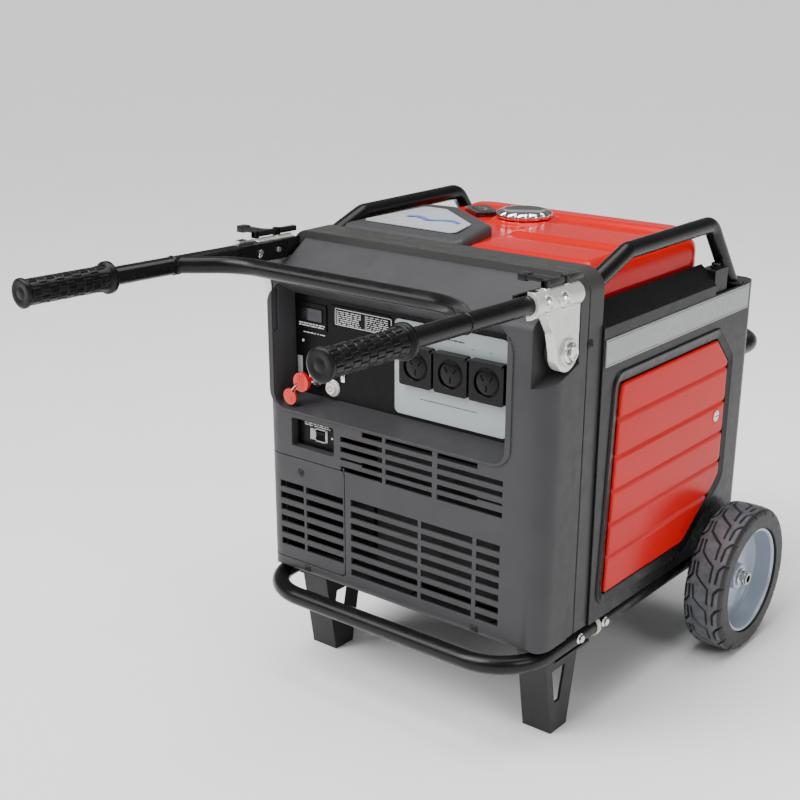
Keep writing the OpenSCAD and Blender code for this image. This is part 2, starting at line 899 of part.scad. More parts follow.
module rotor() color("dimgray") {
    difference() {
        bar_y(18, 78, 0, shaft_z, 108);
        bar_y(38, 90, 0, shaft_z, 97);
        bar_y(0, 100, 0, shaft_z, shaft_r);
    }
    for (i = [0 : 11])
        translate([0, 0, shaft_z]) rotate([0, 30 * i, 0]) block([40, 2, -2], [100, 18.5, 2]);
}

module muffler() color("gray") {
    difference() {
        union() {
            xz(285, 372) round_rect(-150, 360, 185, 560, 40);
            bar_y(370, rear_y + 5, outlet[0], outlet[1], outlet_r - 1);
            bar_y(rear_y + 2, outlet_end_y, outlet[0], outlet[1], outlet_r);
        }
        xz(287, 370) round_rect(-148, 362, 183, 558, 38);
        bar_y(360, big, outlet[0], outlet[1], outlet_r - 3);
    }
}

module inverter_unit() color("silver") {
    block([-60, -125, 215], [190, -108, 415]);
    for (i = [0 : 12])
        block([-58 + 19.9 * i, -109, 217], [-54 + 19.9 * i, -60, 413]);
}

module battery() color(trim_black) {
    block([-215, -60, rail_top + pan_t + eps], [-120, 40, 300]);
    for (x = [-198, -137])
        bar_z(299, 308, x, -40, 6);
}

module air_cleaner() color(trim_black) {
    xz(110, 250) round_rect(115, 400, 225, 520, 14);
    bar_x(80, 116, 190, 440, 22);
}

module starter_motor() color(trim_black) {
    bar_y(112, 250, 145, 245, 34);
    bar_y(95, 113, 145, 245, 14);
}

module engine_mounts() color(rubber_black) {
    for (x = [-85, 85], y = [120, 220])
        bar_z(rail_top + pan_t + eps, 196 - eps, x, y, 14);
}

// ---- Handle ----

// Places the handle's pieces: the pivot is their origin
module at_handle() {
    translate([0, pivot_y, pivot_z]) rotate([-tilt, 0, 0]) children();
}

arm_rear = -14;
cross_r = tube_r - 0.7;
grip_len = 144;
clamp_bolts = [-63, -25];
small_bolt = -44;
lever_x = 255;
lever_dz = 22;
lever_r = 4;

module bolt_holes(r) {
    for (y = clamp_bolts)
        bar_x(200, 300, y, arm_dz, r);
    bar_x(200, 300, small_bolt, arm_dz, 2.5);
}

module handle_frame() color(steel_black) at_handle() {
    both_sides() difference() {
        union() {
            bar_y(-reach + 3, arm_rear, arm_x, arm_dz, tube_r);
            block([arm_x - tube_r - 4, -100, arm_dz - 15], [arm_x - tube_r + 1, -6, arm_dz + 12]);
        }
        bar_y(-reach - 5, arm_rear + 5, arm_x, arm_dz, tube_r - 2.5);
        bolt_holes(4.1);
    }
    difference() {
        translate([0, 0, arm_dz])
            bent_rod([[-arm_x, -218], [-188, -154], [188, -154], [arm_x, -218]], 90, cross_r);
        both_sides() bar_y(-reach, arm_rear, arm_x, arm_dz, tube_r - 1);
    }
}

module grip() at_handle() {
    translate([arm_x, -reach, arm_dz]) rotate([-90, 0, 0]) difference() {
        union() {
            cylinder(h = grip_len, r = 16.5);
            cylinder(h = 6, r = 20);
            translate([0, 0, grip_len - 7]) cylinder(h = 7, r = 22);
            for (i = [1 : 12])
                translate([0, 0, 10 * i]) cylinder(h = 7, r = 17.5);
        }
        translate([0, 0, 3 - eps]) cylinder(h = grip_len, r = tube_r + 0.02);
    }
}

module grip_right() color(rubber_black) grip();
module grip_left() color(rubber_black) mirror([1, 0, 0]) grip();

bracket_x = [245, 260];

module bracket() at_handle() {
    difference() {
        union() {
            yz(bracket_x[0], bracket_x[1]) {
                circle(27);
                polygon([[-27, 0], [-36, 30], [-54, 55], [-60, 64], [-60, 90], [18, 90], [24, 84], [27, 0]]);
            }
            bar_x(bracket_x[0], 262, 0, 0, 18);
            intersection() {
                union() {
                    bar_y(-80, 20, arm_x, arm_dz, 17);
                    bar_y(-92, -78, arm_x, arm_dz, 19.5);
                }
                block([arm_x, -100, 0], [big, 100, 200]);
            }
            for (y = [-60, -14])
                block([250, y, arm_dz + 8], [260, y + 8, arm_dz + lever_dz + 6]);
        }
        bar_y(-200, 5, arm_x, arm_dz, tube_r + 0.02);
        bar_x(200, 300, 0, 0, pin_r + run_fit);
        bar_y(-100, 50, lever_x, arm_dz + lever_dz, lever_r + run_fit);
        bolt_holes(4.1);
        for (y = clamp_bolts)
            bar_x(267, 300, y, arm_dz, 10);
    }
}

module bracket_right() color(cast_silver) bracket();
module bracket_left() color(cast_silver) mirror([1, 0, 0]) bracket();

module bracket_bolts() color(zinc) both_sides() at_handle() {
    for (y = clamp_bolts) {
        bar_x(230, 268, y, arm_dz, 4);
        bar_x(267 + eps, 271, y, arm_dz, 9);
        hex_x(228, arm_x - tube_r - 4 - eps, y, arm_dz, 7.5);
    }
    bar_x(234, 270.5, small_bolt, arm_dz, 2.4);
}

// Latch rod on top of a bracket, with a finger tab towards -X
module lock_lever(x) at_handle() translate([x, 0, arm_dz + lever_dz]) {
    bar_y(-56, 30, 0, 0, lever_r);
    xy(-3.5, 3.5) round_rect(-52, -44, 1.5, -26, 3);
}

module lock_lever_right() color(trim_black) lock_lever(lever_x);
module lock_lever_left() color(trim_black) lock_lever(-lever_x);

// ---- Wheels ----

shoulder_r = 12;
tyre_w = tyre_out_x - tyre_in_x;
hub_x = [tyre_in_x + 12.5, 322];

// Turns a (radius, X) outline about the axle
module wheel_turn() {
    translate([0, wheel_y, axle_z]) rotate([0, 90, 0]) rotate_extrude() children();
}

module tyre() {
    wheel_turn() translate([rim_r, tyre_in_x]) {
            square([tyre_r - rim_r - shoulder_r, tyre_w]);
            translate([0, shoulder_r]) square([tyre_r - rim_r, tyre_w - 2 * shoulder_r]);
            for (y = [shoulder_r, tyre_w - shoulder_r])
                translate([tyre_r - rim_r - shoulder_r, y]) circle(shoulder_r);
    }
}

module rim() {
    wheel_turn() {
        polygon([[rim_r - 4, tyre_in_x + 4], [rim_r - eps, tyre_in_x + 4], [rim_r - eps, tyre_out_x - 4],
            [rim_r - 4, tyre_out_x - 4]]);
        polygon([[12, 298], [26, 296], [rim_r - 3, 302], [rim_r - 3, 308], [30, 302], [26, 318], [12, 320]]);
        polygon([[axle_r + run_fit, hub_x[0]], [22, hub_x[0]], [22, 300], [20, hub_x[1]],
            [axle_r + run_fit, hub_x[1]]]);
    }
}

module tyre_right() color(rubber_black) tyre();
module rim_right() color(rim_grey) rim();
module tyre_left() color(rubber_black) mirror([1, 0, 0]) tyre();
module rim_left() color(rim_grey) mirror([1, 0, 0]) rim();

// ---- Fasteners on the body ----

module fasteners() color(zinc) {
    both_sides() {
        difference() {
            union() {
                bar_x(322.5, 325, wheel_y, axle_z, 16);
                hex_x(325 - eps, 334, wheel_y, axle_z, 15);
            }
            bar_x(300, 340, wheel_y, axle_z, axle_r + 0.02);
        }
        bar_x(hoop_x - 6 + eps, hoop_x - 1, -57, 602, 4);
        bar_z(knob_box_z + eps, knob_box_z + 6, 245, 330, 7);
    }
    for (s = front_screws)
        bar_y(face_y + 0.5, face_y + 6, s[0], s[1], 4);
}

under_frame();
front_bumper();
front_legs();
axle();
base_pan();
front_cover();
hoop_frame();
control_panel();
socket_plate();
ac_sockets();
display();
ignition_switch();
switch_housing();
side_frame_left();
side_frame_right();
side_stripes();
cover_seals();
rear_cover();
rear_guard();
fuel_tank();
info_housing();
fuel_gauge();
lift_bar_left();
lift_bar_right();
muffler();
crankcase();
cylinder_head();
stator();
inverter_unit();
battery();
air_cleaner();
starter_motor();
engine_mounts();
spark_plug();
fasteners();
pivot_pins();
handle_frame();
grip_left();
grip_right();
bracket_left();
bracket_right();
bracket_bolts();
lock_lever_left();
lock_lever_right();
tyre_left();
rim_left();
tyre_right();
rim_right();
fuel_cap();
service_cover_left();
service_cover_right();
cover_lock_left();
cover_lock_right();
front_door();
ignition_key();
key_tag();
rocker_switch();
breaker_button();
crankshaft();
rotor();
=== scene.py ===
"""Looks of a wheeled inverter generator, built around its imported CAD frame. Units are metres."""
import json
import math
import random

import bmesh
import bpy
import numpy as np
from mathutils import Matrix, Vector


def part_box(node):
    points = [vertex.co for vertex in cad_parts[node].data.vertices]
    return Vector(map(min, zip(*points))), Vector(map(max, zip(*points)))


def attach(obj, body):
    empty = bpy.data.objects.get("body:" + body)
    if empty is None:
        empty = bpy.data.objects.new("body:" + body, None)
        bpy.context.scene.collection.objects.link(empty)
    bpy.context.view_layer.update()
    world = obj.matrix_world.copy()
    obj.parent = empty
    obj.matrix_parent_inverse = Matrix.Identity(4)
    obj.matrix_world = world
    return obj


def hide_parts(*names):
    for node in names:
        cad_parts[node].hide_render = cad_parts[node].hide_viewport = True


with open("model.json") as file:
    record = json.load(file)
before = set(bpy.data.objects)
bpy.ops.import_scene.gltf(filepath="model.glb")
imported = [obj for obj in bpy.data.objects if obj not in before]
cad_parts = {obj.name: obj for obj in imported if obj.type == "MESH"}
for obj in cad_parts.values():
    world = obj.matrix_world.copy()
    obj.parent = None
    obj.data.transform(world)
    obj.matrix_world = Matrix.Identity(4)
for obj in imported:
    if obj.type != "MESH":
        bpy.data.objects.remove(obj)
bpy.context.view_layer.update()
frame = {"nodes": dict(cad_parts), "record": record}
NODES = frame["nodes"]
MM = 0.001
TURN = 2 * math.pi


# ---- Camera, floor and light ----


def add_camera():
    """The camera stands right of the front, a little above the machine."""
    data = bpy.data.cameras.new("camera")
    data.sensor_width = 36
    data.lens = 61.62
    data.shift_x = 0.0103
    data.shift_y = 0.0816
    camera = bpy.data.objects.new("camera", data)
    camera.location = (1.17279, -1.61161, 1.10036)
    camera.rotation_euler = (math.radians(90 - 20.65), 0, math.radians(39.02))
    bpy.context.scene.collection.objects.link(camera)
    bpy.context.scene.camera = camera


def add_area(name, place, target, size, power, color=(1, 1, 1)):
    data = bpy.data.lights.new(name, "AREA")
    data.shape = "RECTANGLE"
    data.size, data.size_y = size
    data.energy = power
    data.color = color
    light = bpy.data.objects.new(name, data)
    light.location = place
    light.rotation_euler = (Vector(target) - Vector(place)).to_track_quat("-Z", "Y").to_euler()
    bpy.context.scene.collection.objects.link(light)


def add_studio():
    """Plain pale floor, a sky that is pale at the horizon, and soft lamps above and in front."""
    world = bpy.data.worlds.new("studio")
    world.use_nodes = True
    tree = world.node_tree
    direction = tree.nodes.new("ShaderNodeTexCoord").outputs["Generated"]
    split = tree.nodes.new("ShaderNodeSeparateXYZ")
    tree.links.new(direction, split.inputs[0])
    ramp = tree.nodes.new("ShaderNodeMapRange")
    ramp.interpolation_type = "SMOOTHSTEP"
    for key, value in (("From Min", -0.05), ("From Max", 0.3), ("To Min", 0.75), ("To Max", 0.16)):
        ramp.inputs[key].default_value = value
    tree.links.new(split.outputs["Z"], ramp.inputs["Value"])
    sky = tree.nodes["Background"]
    sky.inputs["Color"].default_value = (1, 1, 1, 1)
    tree.links.new(ramp.outputs["Result"], sky.inputs["Strength"])
    bpy.context.scene.world = world
    middle = (0, 0.1, 0.4)
    add_area("top", (0.1, 0.3, 2.9), middle, (2.4, 2.0), 62)
    add_area("front", (-2.0, -2.7, 2.3), middle, (1.8, 1.5), 46)
    add_area("side", (3.0, -0.6, 2.2), middle, (1.4, 1.4), 30)
    data = bpy.data.lights.new("daylight", "SUN")
    data.energy = 4.0
    data.angle = math.radians(40)
    sun = bpy.data.objects.new("daylight", data)
    sun.rotation_euler = (math.radians(32), math.radians(-14), 0)
    bpy.context.scene.collection.objects.link(sun)
    mesh = bpy.data.meshes.new("floor")
    half = 60
    mesh.from_pydata([(-half, -half, 0), (half, -half, 0), (half, half, 0), (-half, half, 0)],
                     [], [(0, 1, 2, 3)])
    floor = bpy.data.objects.new("floor", mesh)
    floor.location.z = -0.0005
    bpy.context.scene.collection.objects.link(floor)
    mesh.materials.append(finish("floor_paint", (0.95, 0.95, 0.95), 0.7, mottle=0.01, patch=0.4, edge=0))


# ---- Materials ----


class Nodes:
    """Builds the nodes of one material."""

    def __init__(self, name):
        self.material = bpy.data.materials.new(name)
        self.material.use_nodes = True
        self.tree = self.material.node_tree
        self.shader = self.tree.nodes["Principled BSDF"]
        self.place = self.tree.nodes.new("ShaderNodeTexCoord").outputs["Object"]

    def put(self, kind, **inputs):
        node = self.tree.nodes.new("ShaderNode" + kind)
        for key, value in inputs.items():
            self.set(node, key.replace("_", " "), value)
        return node

    def set(self, node, key, value):
        socket = node.inputs[key]
        if isinstance(value, bpy.types.NodeSocket):
            self.tree.links.new(value, socket)
        else:
            socket.default_value = value

    def noise(self, size, detail=3.0, vector=None):
        node = self.put("TexNoise", Scale=1 / size, Detail=detail, Vector=vector or self.place)
        return node.outputs["Fac"]

    def remap(self, value, low, high, out_low, out_high):
        node = self.put("MapRange", Value=value, From_Min=low, From_Max=high, To_Min=out_low,
                        To_Max=out_high)
        return node.outputs["Result"]

    def math(self, operation, a, b):
        node = self.put("Math")
        node.operation = operation
        self.set(node, 0, a)
        self.set(node, 1, b)
        return node.outputs[0]

    def blend(self, share, a, b):
        node = self.put("Mix")
        node.data_type = "RGBA"
        self.set(node, 0, share)
        self.set(node, 6, a)
        self.set(node, 7, b)
        return node.outputs[2]


def tint(color, factor):
    return (*[min(1.0, c * factor) for c in color], 1.0)


def finish(name, color, rough, metal=0.0, mottle=0.08, patch=0.05, grain=0.0, grain_size=0.0009,
           edge=0.0009, wear=None, wear_share=0.35, coat=0.0, spec=0.5, spread=0.06, streak=0.0,
           pattern=None):
    """A material with colour and gloss that vary, fine grain, softened edges and worn corners.

    Lengths are in metres: patch is the size of the colour patches, and edge the radius of the
    softened edges. streak is the depth of brush lines that run along X and Y.
    """
    n = Nodes(name)
    n.set(n.shader, "Metallic", metal)
    n.set(n.shader, "Coat Weight", coat)
    n.set(n.shader, "Specular IOR Level", spec)
    n.set(n.shader, "Coat Roughness", 0.08)
    clouds = n.noise(patch)
    base = n.blend(n.remap(clouds, 0.35, 0.65, 0, 1), tint(color, 1 - mottle), tint(color, 1 + mottle))
    if pattern:
        base = pattern(n, base)
    gloss = n.remap(n.noise(patch * 0.4, 5), 0.3, 0.7, max(0.02, rough - spread), rough + spread)
    normal = None
    if edge:
        soft = n.put("Bevel", Radius=edge)
        soft.samples = 4
        normal = soft.outputs["Normal"]
        flat = n.put("NewGeometry").outputs["Normal"]
        dot = n.put("VectorMath")
        dot.operation = "DOT_PRODUCT"
        n.set(dot, 0, normal)
        n.set(dot, 1, flat)
        if wear:
            rim = n.remap(dot.outputs["Value"], 0.995, 0.86, 0, 1)
            chips = n.remap(n.noise(0.006, 6), 0.5, 0.62, 0, wear_share)
            share = n.math("MULTIPLY", rim, chips)
            base = n.blend(share, base, (*wear, 1))
    height = None
    if grain:
        height = n.math("MULTIPLY", n.noise(grain_size, 2), grain)
    if streak:
        stretch = n.put("Mapping", Vector=n.place, Scale=(4, 4, 1200))
        lines = n.math("MULTIPLY", n.noise(1, 2, stretch.outputs["Vector"]), streak)
        height = n.math("ADD", height, lines) if height else lines
    if height:
        bump = n.put("Bump", Strength=1.0, Distance=0.001, Height=height)
        if normal:
            n.set(bump, "Normal", normal)
        normal = bump.outputs["Normal"]
    n.set(n.shader, "Base Color", base)
    n.set(n.shader, "Roughness", gloss)
    if normal:
        n.set(n.shader, "Normal", normal)
    return n.material


def windings(n, base):
    """Copper turns: thin darker lines round each bundle."""
    wave = n.put("TexWave", Scale=160, Distortion=1.0, Vector=n.place)
    return n.blend(n.math("MULTIPLY", wave.outputs["Fac"], 0.5), base, (0.2, 0.07, 0.02, 1))


def heat_tint(n, base):
    """A straw colour that drifts over hot steel."""
    drift = n.remap(n.noise(0.09, 4), 0.4, 0.6, 0, 0.5)
    return n.blend(drift, base, (0.28, 0.2, 0.12, 1))


PIVOT = (0, -118, 605)
HANDLE_TILT = 1.7
BARE = (0.45, 0.45, 0.45)
PALE_EDGE = (0.2, 0.2, 0.2)

def tyre_dust_and_groove_shade(n, base):
    """Dust on the tread's top, and painted shade that keeps the grooves as dark as the sidewalls, told apart by the
    distance from the axle.
    """
    low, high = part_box("tyre_right")
    centre = (low + high) / 2
    reach = (high.z - low.z) / 2
    split = n.put("SeparateXYZ")
    n.set(split, 0, n.place)
    y = n.math("SUBTRACT", split.outputs["Y"], centre.y)
    z = n.math("SUBTRACT", split.outputs["Z"], centre.z)
    square = n.math("ADD", n.math("MULTIPLY", y, y), n.math("MULTIPLY", z, z))
    radius = n.math("POWER", square, 0.5)
    # Only the outermost 2.2 to 3.6 mm take the dust colour. The grooves below stay black as painted shade in the
    # recesses.
    top = n.remap(radius, reach - 0.0036, reach - 0.0022, 0, 1)
    dust = n.blend(n.remap(n.noise(0.012, 5), 0.35, 0.65, 0, 1), (0.07, 0.073, 0.082, 1),
                   (0.11, 0.115, 0.127, 1))
    return n.blend(top, base, dust)


def black_lugs(n, base):
    """The lever's lugs on top of the brackets are black."""
    tilt = math.radians(HANDLE_TILT)
    split = n.put("SeparateXYZ")
    n.set(split, 0, n.place)
    lift = n.math("MULTIPLY", n.math("SUBTRACT", split.outputs["Z"], PIVOT[2] * MM), math.cos(tilt))
    lean = n.math("MULTIPLY", n.math("SUBTRACT", split.outputs["Y"], PIVOT[1] * MM), math.sin(tilt))
    return n.blend(n.remap(n.math("ADD", lift, lean), 0.0932, 0.0936, 0, 1), base, (0.006, 0.006, 0.006, 1))


FINISHES = {
    "frame_paint": dict(color=(0.005, 0.005, 0.005), rough=0.27, spec=0.22, coat=0.05, grain=0.008,
                        grain_size=0.004, wear=BARE, wear_share=0.12),
    "leg_paint": dict(color=(0.016, 0.016, 0.017), rough=0.42, spec=0.3, grain=0.02, wear=BARE,
                      wear_share=0.15),
    "axle_steel": dict(color=(0.55, 0.54, 0.5), rough=0.3, metal=1.0, streak=0.02),
    "pan_plastic": dict(color=(0.012, 0.012, 0.012), rough=0.6, spec=0.3, grain=0.06),
    "cover_plastic": dict(color=(0.043, 0.042, 0.045), rough=0.46, spec=0.25, mottle=0.05, grain=0.045,
                          grain_size=0.0011, edge=0.0018, wear=PALE_EDGE, wear_share=0.25),
    "hoop_paint": dict(color=(0.036, 0.036, 0.035), rough=0.4, spec=0.25, mottle=0.04, grain=0.03,
                       edge=0.0022, wear=PALE_EDGE, wear_share=0.25),
    "panel_plastic": dict(color=(0.003, 0.003, 0.003), rough=0.3, spec=0.12, grain=0.015),
    "socket_label": dict(color=(0.35, 0.39, 0.4), rough=0.35, mottle=0.03),
    "socket_plastic": dict(color=(0.003, 0.003, 0.003), rough=0.22, spec=0.2, grain=0.01),
    "display_window": dict(color=(0.006, 0.006, 0.014), rough=0.12, spec=0.4, coat=0.3, edge=0.0004),
    "zinc": dict(color=(0.72, 0.73, 0.74), rough=0.2, metal=1.0, mottle=0.12, patch=0.008,
                 edge=0.0004, grain=0.01),
    "trim_plastic": dict(color=(0.007, 0.007, 0.0072), rough=0.3, spec=0.25, grain=0.02, edge=0.0016,
                         wear=PALE_EDGE, wear_share=0.2),
    "stripe_label": dict(color=(0.31, 0.325, 0.32), rough=0.3, metal=0.25, mottle=0.03, streak=0.003),
    "seal_rubber": dict(color=(0.006, 0.006, 0.006), rough=0.7, spec=0.2, grain=0.05),
    "tank_paint": dict(color=(0.5, 0.002, 0.002), rough=0.2, spec=0.15, coat=0.03, mottle=0.03, patch=0.12,
                       edge=0, spread=0.03),
    "gauge_plastic": dict(color=(0.008, 0.008, 0.008), rough=0.22, spec=0.4, coat=0.2),
    "exhaust_steel": dict(color=(0.4, 0.36, 0.32), rough=0.35, metal=1.0, pattern=heat_tint),
    # Alloy colour darkened as painted shade, for the engine seen inside the body.
    "engine_alloy": dict(color=(0.16, 0.16, 0.16), rough=0.5, metal=0.8, grain=0.12, grain_size=0.002),
    "copper_winding": dict(color=(0.5, 0.2, 0.07), rough=0.35, metal=0.7, pattern=windings),
    # Near black: painted shade for the inverter seen through the front louvres, in place of its bare alloy colour.
    "inverter_alloy": dict(color=(0.012, 0.012, 0.013), rough=0.45, spec=0.2, streak=0.02),
    "battery_plastic": dict(color=(0.012, 0.012, 0.013), rough=0.45, spec=0.3, grain=0.05),
    "ceramic": dict(color=(0.75, 0.72, 0.66), rough=0.25, coat=0.3),
    "grip_rubber": dict(color=(0.004, 0.004, 0.0045), rough=0.3, spec=0.22, grain=0.01, mottle=0.15,
                        patch=0.01, edge=0.0004),
    "bracket_cast": dict(color=(0.7, 0.7, 0.66), rough=0.3, metal=0.55, grain=0.02,
                         grain_size=0.0016, mottle=0.05, patch=0.02, edge=0.0008, pattern=black_lugs),
    "lever_plastic": dict(color=(0.006, 0.006, 0.006), rough=0.34, spec=0.35, grain=0.02),
    "tyre": dict(color=(0.014, 0.014, 0.0145), rough=0.5, spec=0.4, grain=0.04, mottle=0.2, patch=0.02,
                 edge=0.0003, pattern=tyre_dust_and_groove_shade),
    "rim_paint": dict(color=(0.42, 0.47, 0.54), rough=0.3, metal=0.4, coat=0.2, mottle=0.015,
                      patch=0.2, spread=0.015, grain=0.006, grain_size=0.003),
    "chrome": dict(color=(0.86, 0.86, 0.86), rough=0.05, metal=1.0, mottle=0.02, spread=0.02,
                   edge=0.0005),
    "cover_red": dict(color=(0.58, 0.003, 0.003), rough=0.22, spec=0.14, coat=0.0, mottle=0.03, patch=0.15,
                      edge=0.0008, spread=0.03),
    "key_plastic": dict(color=(0.62, 0.008, 0.005), rough=0.3, coat=0.2),
    "button_plastic": dict(color=(0.75, 0.74, 0.7), rough=0.3, coat=0.2),
    "shaft_steel": dict(color=(0.5, 0.5, 0.5), rough=0.22, metal=1.0, streak=0.02),
    "rotor_iron": dict(color=(0.12, 0.12, 0.12), rough=0.55, metal=0.6, grain=0.1, grain_size=0.002),
}
EXTRA = {
    "print_white": dict(color=(0.62, 0.63, 0.62), rough=0.45, mottle=0.03, edge=0),
    "print_dark": dict(color=(0.03, 0.03, 0.03), rough=0.45, mottle=0.05, edge=0),
    "print_blue": dict(color=(0.1, 0.13, 0.5), rough=0.4, mottle=0.03, edge=0),
    "print_red": dict(color=(0.5, 0.03, 0.03), rough=0.4, mottle=0.03, edge=0),
    "sheet_pale": dict(color=(0.42, 0.45, 0.46), rough=0.25, coat=0.1, mottle=0.03, edge=0.0004),
    "cheek_black": dict(color=(0.006, 0.006, 0.006), rough=0.5, spec=0.25, grain=0.05),
    "cream_plastic": dict(color=(0.62, 0.58, 0.48), rough=0.4, grain=0.03),
    # Near-black matte that stands for painted shade in holes, slots and pockets.
    "painted_hole_shade": dict(color=(0.002, 0.002, 0.002), rough=0.8, spec=0.1, mottle=0.02, edge=0),
}
MATERIALS = {}


def make_materials():
    for name, look in {**FINISHES, **EXTRA}.items():
        MATERIALS[name] = finish(name, **look)


def dress_nodes():
    """Gives each CAD node the finish of its material slot, with smooth curves and sharp edges."""
    for part in frame["record"]["subparts"]:
        node = NODES[part["node"]]
        node.data.materials.clear()
        node.data.materials.append(MATERIALS[part["material_slot"]])
        weld = node.modifiers.new("weld", "WELD")
        weld.merge_threshold = 0.000002
        if part["node"].startswith("bracket_") and part["node"] != "bracket_bolts":
            cast = node.modifiers.new("cast", "REMESH")
            cast.mode = "VOXEL"
            cast.voxel_size = 0.0007
            soft = node.modifiers.new("soft", "SMOOTH")
            soft.factor, soft.iterations = 0.5, 9
            node.data.shade_smooth()
            continue
        split = node.modifiers.new("sharp", "EDGE_SPLIT")
        split.split_angle = math.radians(32)
        node.data.shade_smooth()


# ---- Shapes ----


def at(place, axis=(0, 0, 1), spin=0.0):
    """Matrix that puts local +Z along axis at a place."""
    turn = Vector(axis).to_track_quat("Z", "Y").to_matrix().to_4x4()
    return Matrix.Translation(place) @ turn @ Matrix.Rotation(spin, 4, "Z")


def mm(*values):
    return Vector([v * MM for v in values])


class Shape:
    """Collects solids as one mesh. Lengths are in millimetres, in the shape's own axes."""

    def __init__(self):
        self.verts = []
        self.faces = []

    def add(self, verts, faces, place):
        start = len(self.verts)
        flip = place.to_3x3().determinant() < 0
        self.verts += [place @ (Vector(v) * MM) for v in verts]
        for face in faces:
            face = [start + i for i in face]
            self.faces.append(face[::-1] if flip else face)
        return self

    def prism(self, outline, low, high, place=Matrix()):
        """Outline in XY, stretched along Z."""
        count = len(outline)
        verts = [(x, y, low) for x, y in outline] + [(x, y, high) for x, y in outline]
        sides = [(i, (i + 1) % count, count + (i + 1) % count, count + i) for i in range(count)]
        return self.add(verts, [tuple(range(count))[::-1], tuple(range(count, 2 * count))] + sides,
                        place)

    def box(self, low, high, place=Matrix()):
        outline = [(low[0], low[1]), (high[0], low[1]), (high[0], high[1]), (low[0], high[1])]
        return self.prism(outline, low[2], high[2], place)

    def rounded(self, low, high, radius, place=Matrix(), steps=6):
        """Box with round corners in XY."""
        outline = []
        for cx, cy, start in ((high[0] - radius, high[1] - radius, 0), (low[0] + radius, high[1] - radius, 1),
                              (low[0] + radius, low[1] + radius, 2), (high[0] - radius, low[1] + radius, 3)):
            for i in range(steps + 1):
                a = (start + i / steps) * math.pi / 2
                outline.append((cx + radius * math.cos(a), cy + radius * math.sin(a)))
        return self.prism(outline, low[2], high[2], place)

    def lathe(self, profile, place=Matrix(), steps=48, radius=None):
        """Closed outline of (radius, height) points turned about Z. radius(r, z, angle) may vary it."""
        count = len(profile)
        verts = []
        for k in range(steps):
            a = TURN * k / steps
            for r, z in profile:
                rr = radius(r, z, a) if radius else r
                verts.append((rr * math.cos(a), rr * math.sin(a), z))
        faces = []
        for k in range(steps):
            for i in range(count):
                j = (i + 1) % count
                m = (k + 1) % steps
                faces.append((k * count + i, m * count + i, m * count + j, k * count + j))
        return self.add(verts, faces, place)

    def make(self, name, body, slot, bevel=0.0, segments=2, angle=32, look=None, replaces=()):
        mesh = bpy.data.meshes.new(name)
        mesh.from_pydata(self.verts, [], self.faces)
        work = bmesh.new()
        work.from_mesh(mesh)
        bmesh.ops.remove_doubles(work, verts=work.verts, dist=1e-7)
        bmesh.ops.dissolve_degenerate(work, edges=work.edges, dist=1e-7)
        bmesh.ops.recalc_face_normals(work, faces=work.faces)
        work.to_mesh(mesh)
        work.free()
        piece = bpy.data.objects.new(name, mesh)
        bpy.context.scene.collection.objects.link(piece)
        mesh.materials.append(MATERIALS[look or slot])
        mesh.shade_smooth()
        if bevel:
            cut = piece.modifiers.new("bevel", "BEVEL")
            cut.width = bevel * MM
            cut.segments = segments
            cut.limit_method = "ANGLE"
            cut.angle_limit = math.radians(angle)
            cut.harden_normals = False
        split = piece.modifiers.new("sharp", "EDGE_SPLIT")
        split.split_angle = math.radians(angle)
        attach(piece, body)
        if replaces:
            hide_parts(*replaces)
        return piece


def arc(cx, cy, radius, start, end, steps=6):
    """Points on an arc, angles in degrees."""
    return [(cx + radius * math.cos(math.radians(start + (end - start) * i / steps)),
             cy + radius * math.sin(math.radians(start + (end - start) * i / steps)))
            for i in range(steps + 1)]


def grow_outline(corners, radii, grow=0.0, steps=5):
    """Convex outline of anticlockwise corners, moved outward by grow, with round corners."""
    points = []
    count = len(corners)
    for i, (corner, radius) in enumerate(zip(corners, radii)):
        here = Vector(corner)
        back = (here - Vector(corners[i - 1])).normalized()
        ahead = (Vector(corners[(i + 1) % count]) - here).normalized()
        out_back, out_ahead = Vector((back.y, -back.x)), Vector((ahead.y, -ahead.x))
        middle = (out_back + out_ahead).normalized()
        centre = here - middle * radius / middle.dot(out_back)
        start = math.atan2(out_back.y, out_back.x)
        turn = (math.atan2(out_ahead.y, out_ahead.x) - start) % TURN
        for k in range(steps + 1):
            a = start + turn * k / steps
            reach = radius + grow
            points.append((centre.x + reach * math.cos(a), centre.y + reach * math.sin(a)))
    return points


def outline_gap(x, y, outline):
    """Distance from places to the nearest side of an outline."""
    gap = np.full(np.shape(x), 1e9)
    for a, b in zip(outline, outline[1:] + outline[:1]):
        if (a[0] - b[0]) ** 2 + (a[1] - b[1]) ** 2 > 1e-6:
            gap = np.minimum(gap, segment_distance(x, y, a, b))
    return gap


def round_over(gap, radius):
    """How far a surface drops within a radius of its edge."""
    near = np.clip(radius - gap, 0, radius)
    return radius - np.sqrt(radius ** 2 - near ** 2)


def row_span(outline, level):
    """First and last crossing of a horizontal line with an outline."""
    found = []
    for a, b in zip(outline, outline[1:] + outline[:1]):
        if (a[1] - level) * (b[1] - level) <= 0 and a[1] != b[1]:
            found.append(a[0] + (b[0] - a[0]) * (level - a[1]) / (b[1] - a[1]))
    return min(found), max(found)


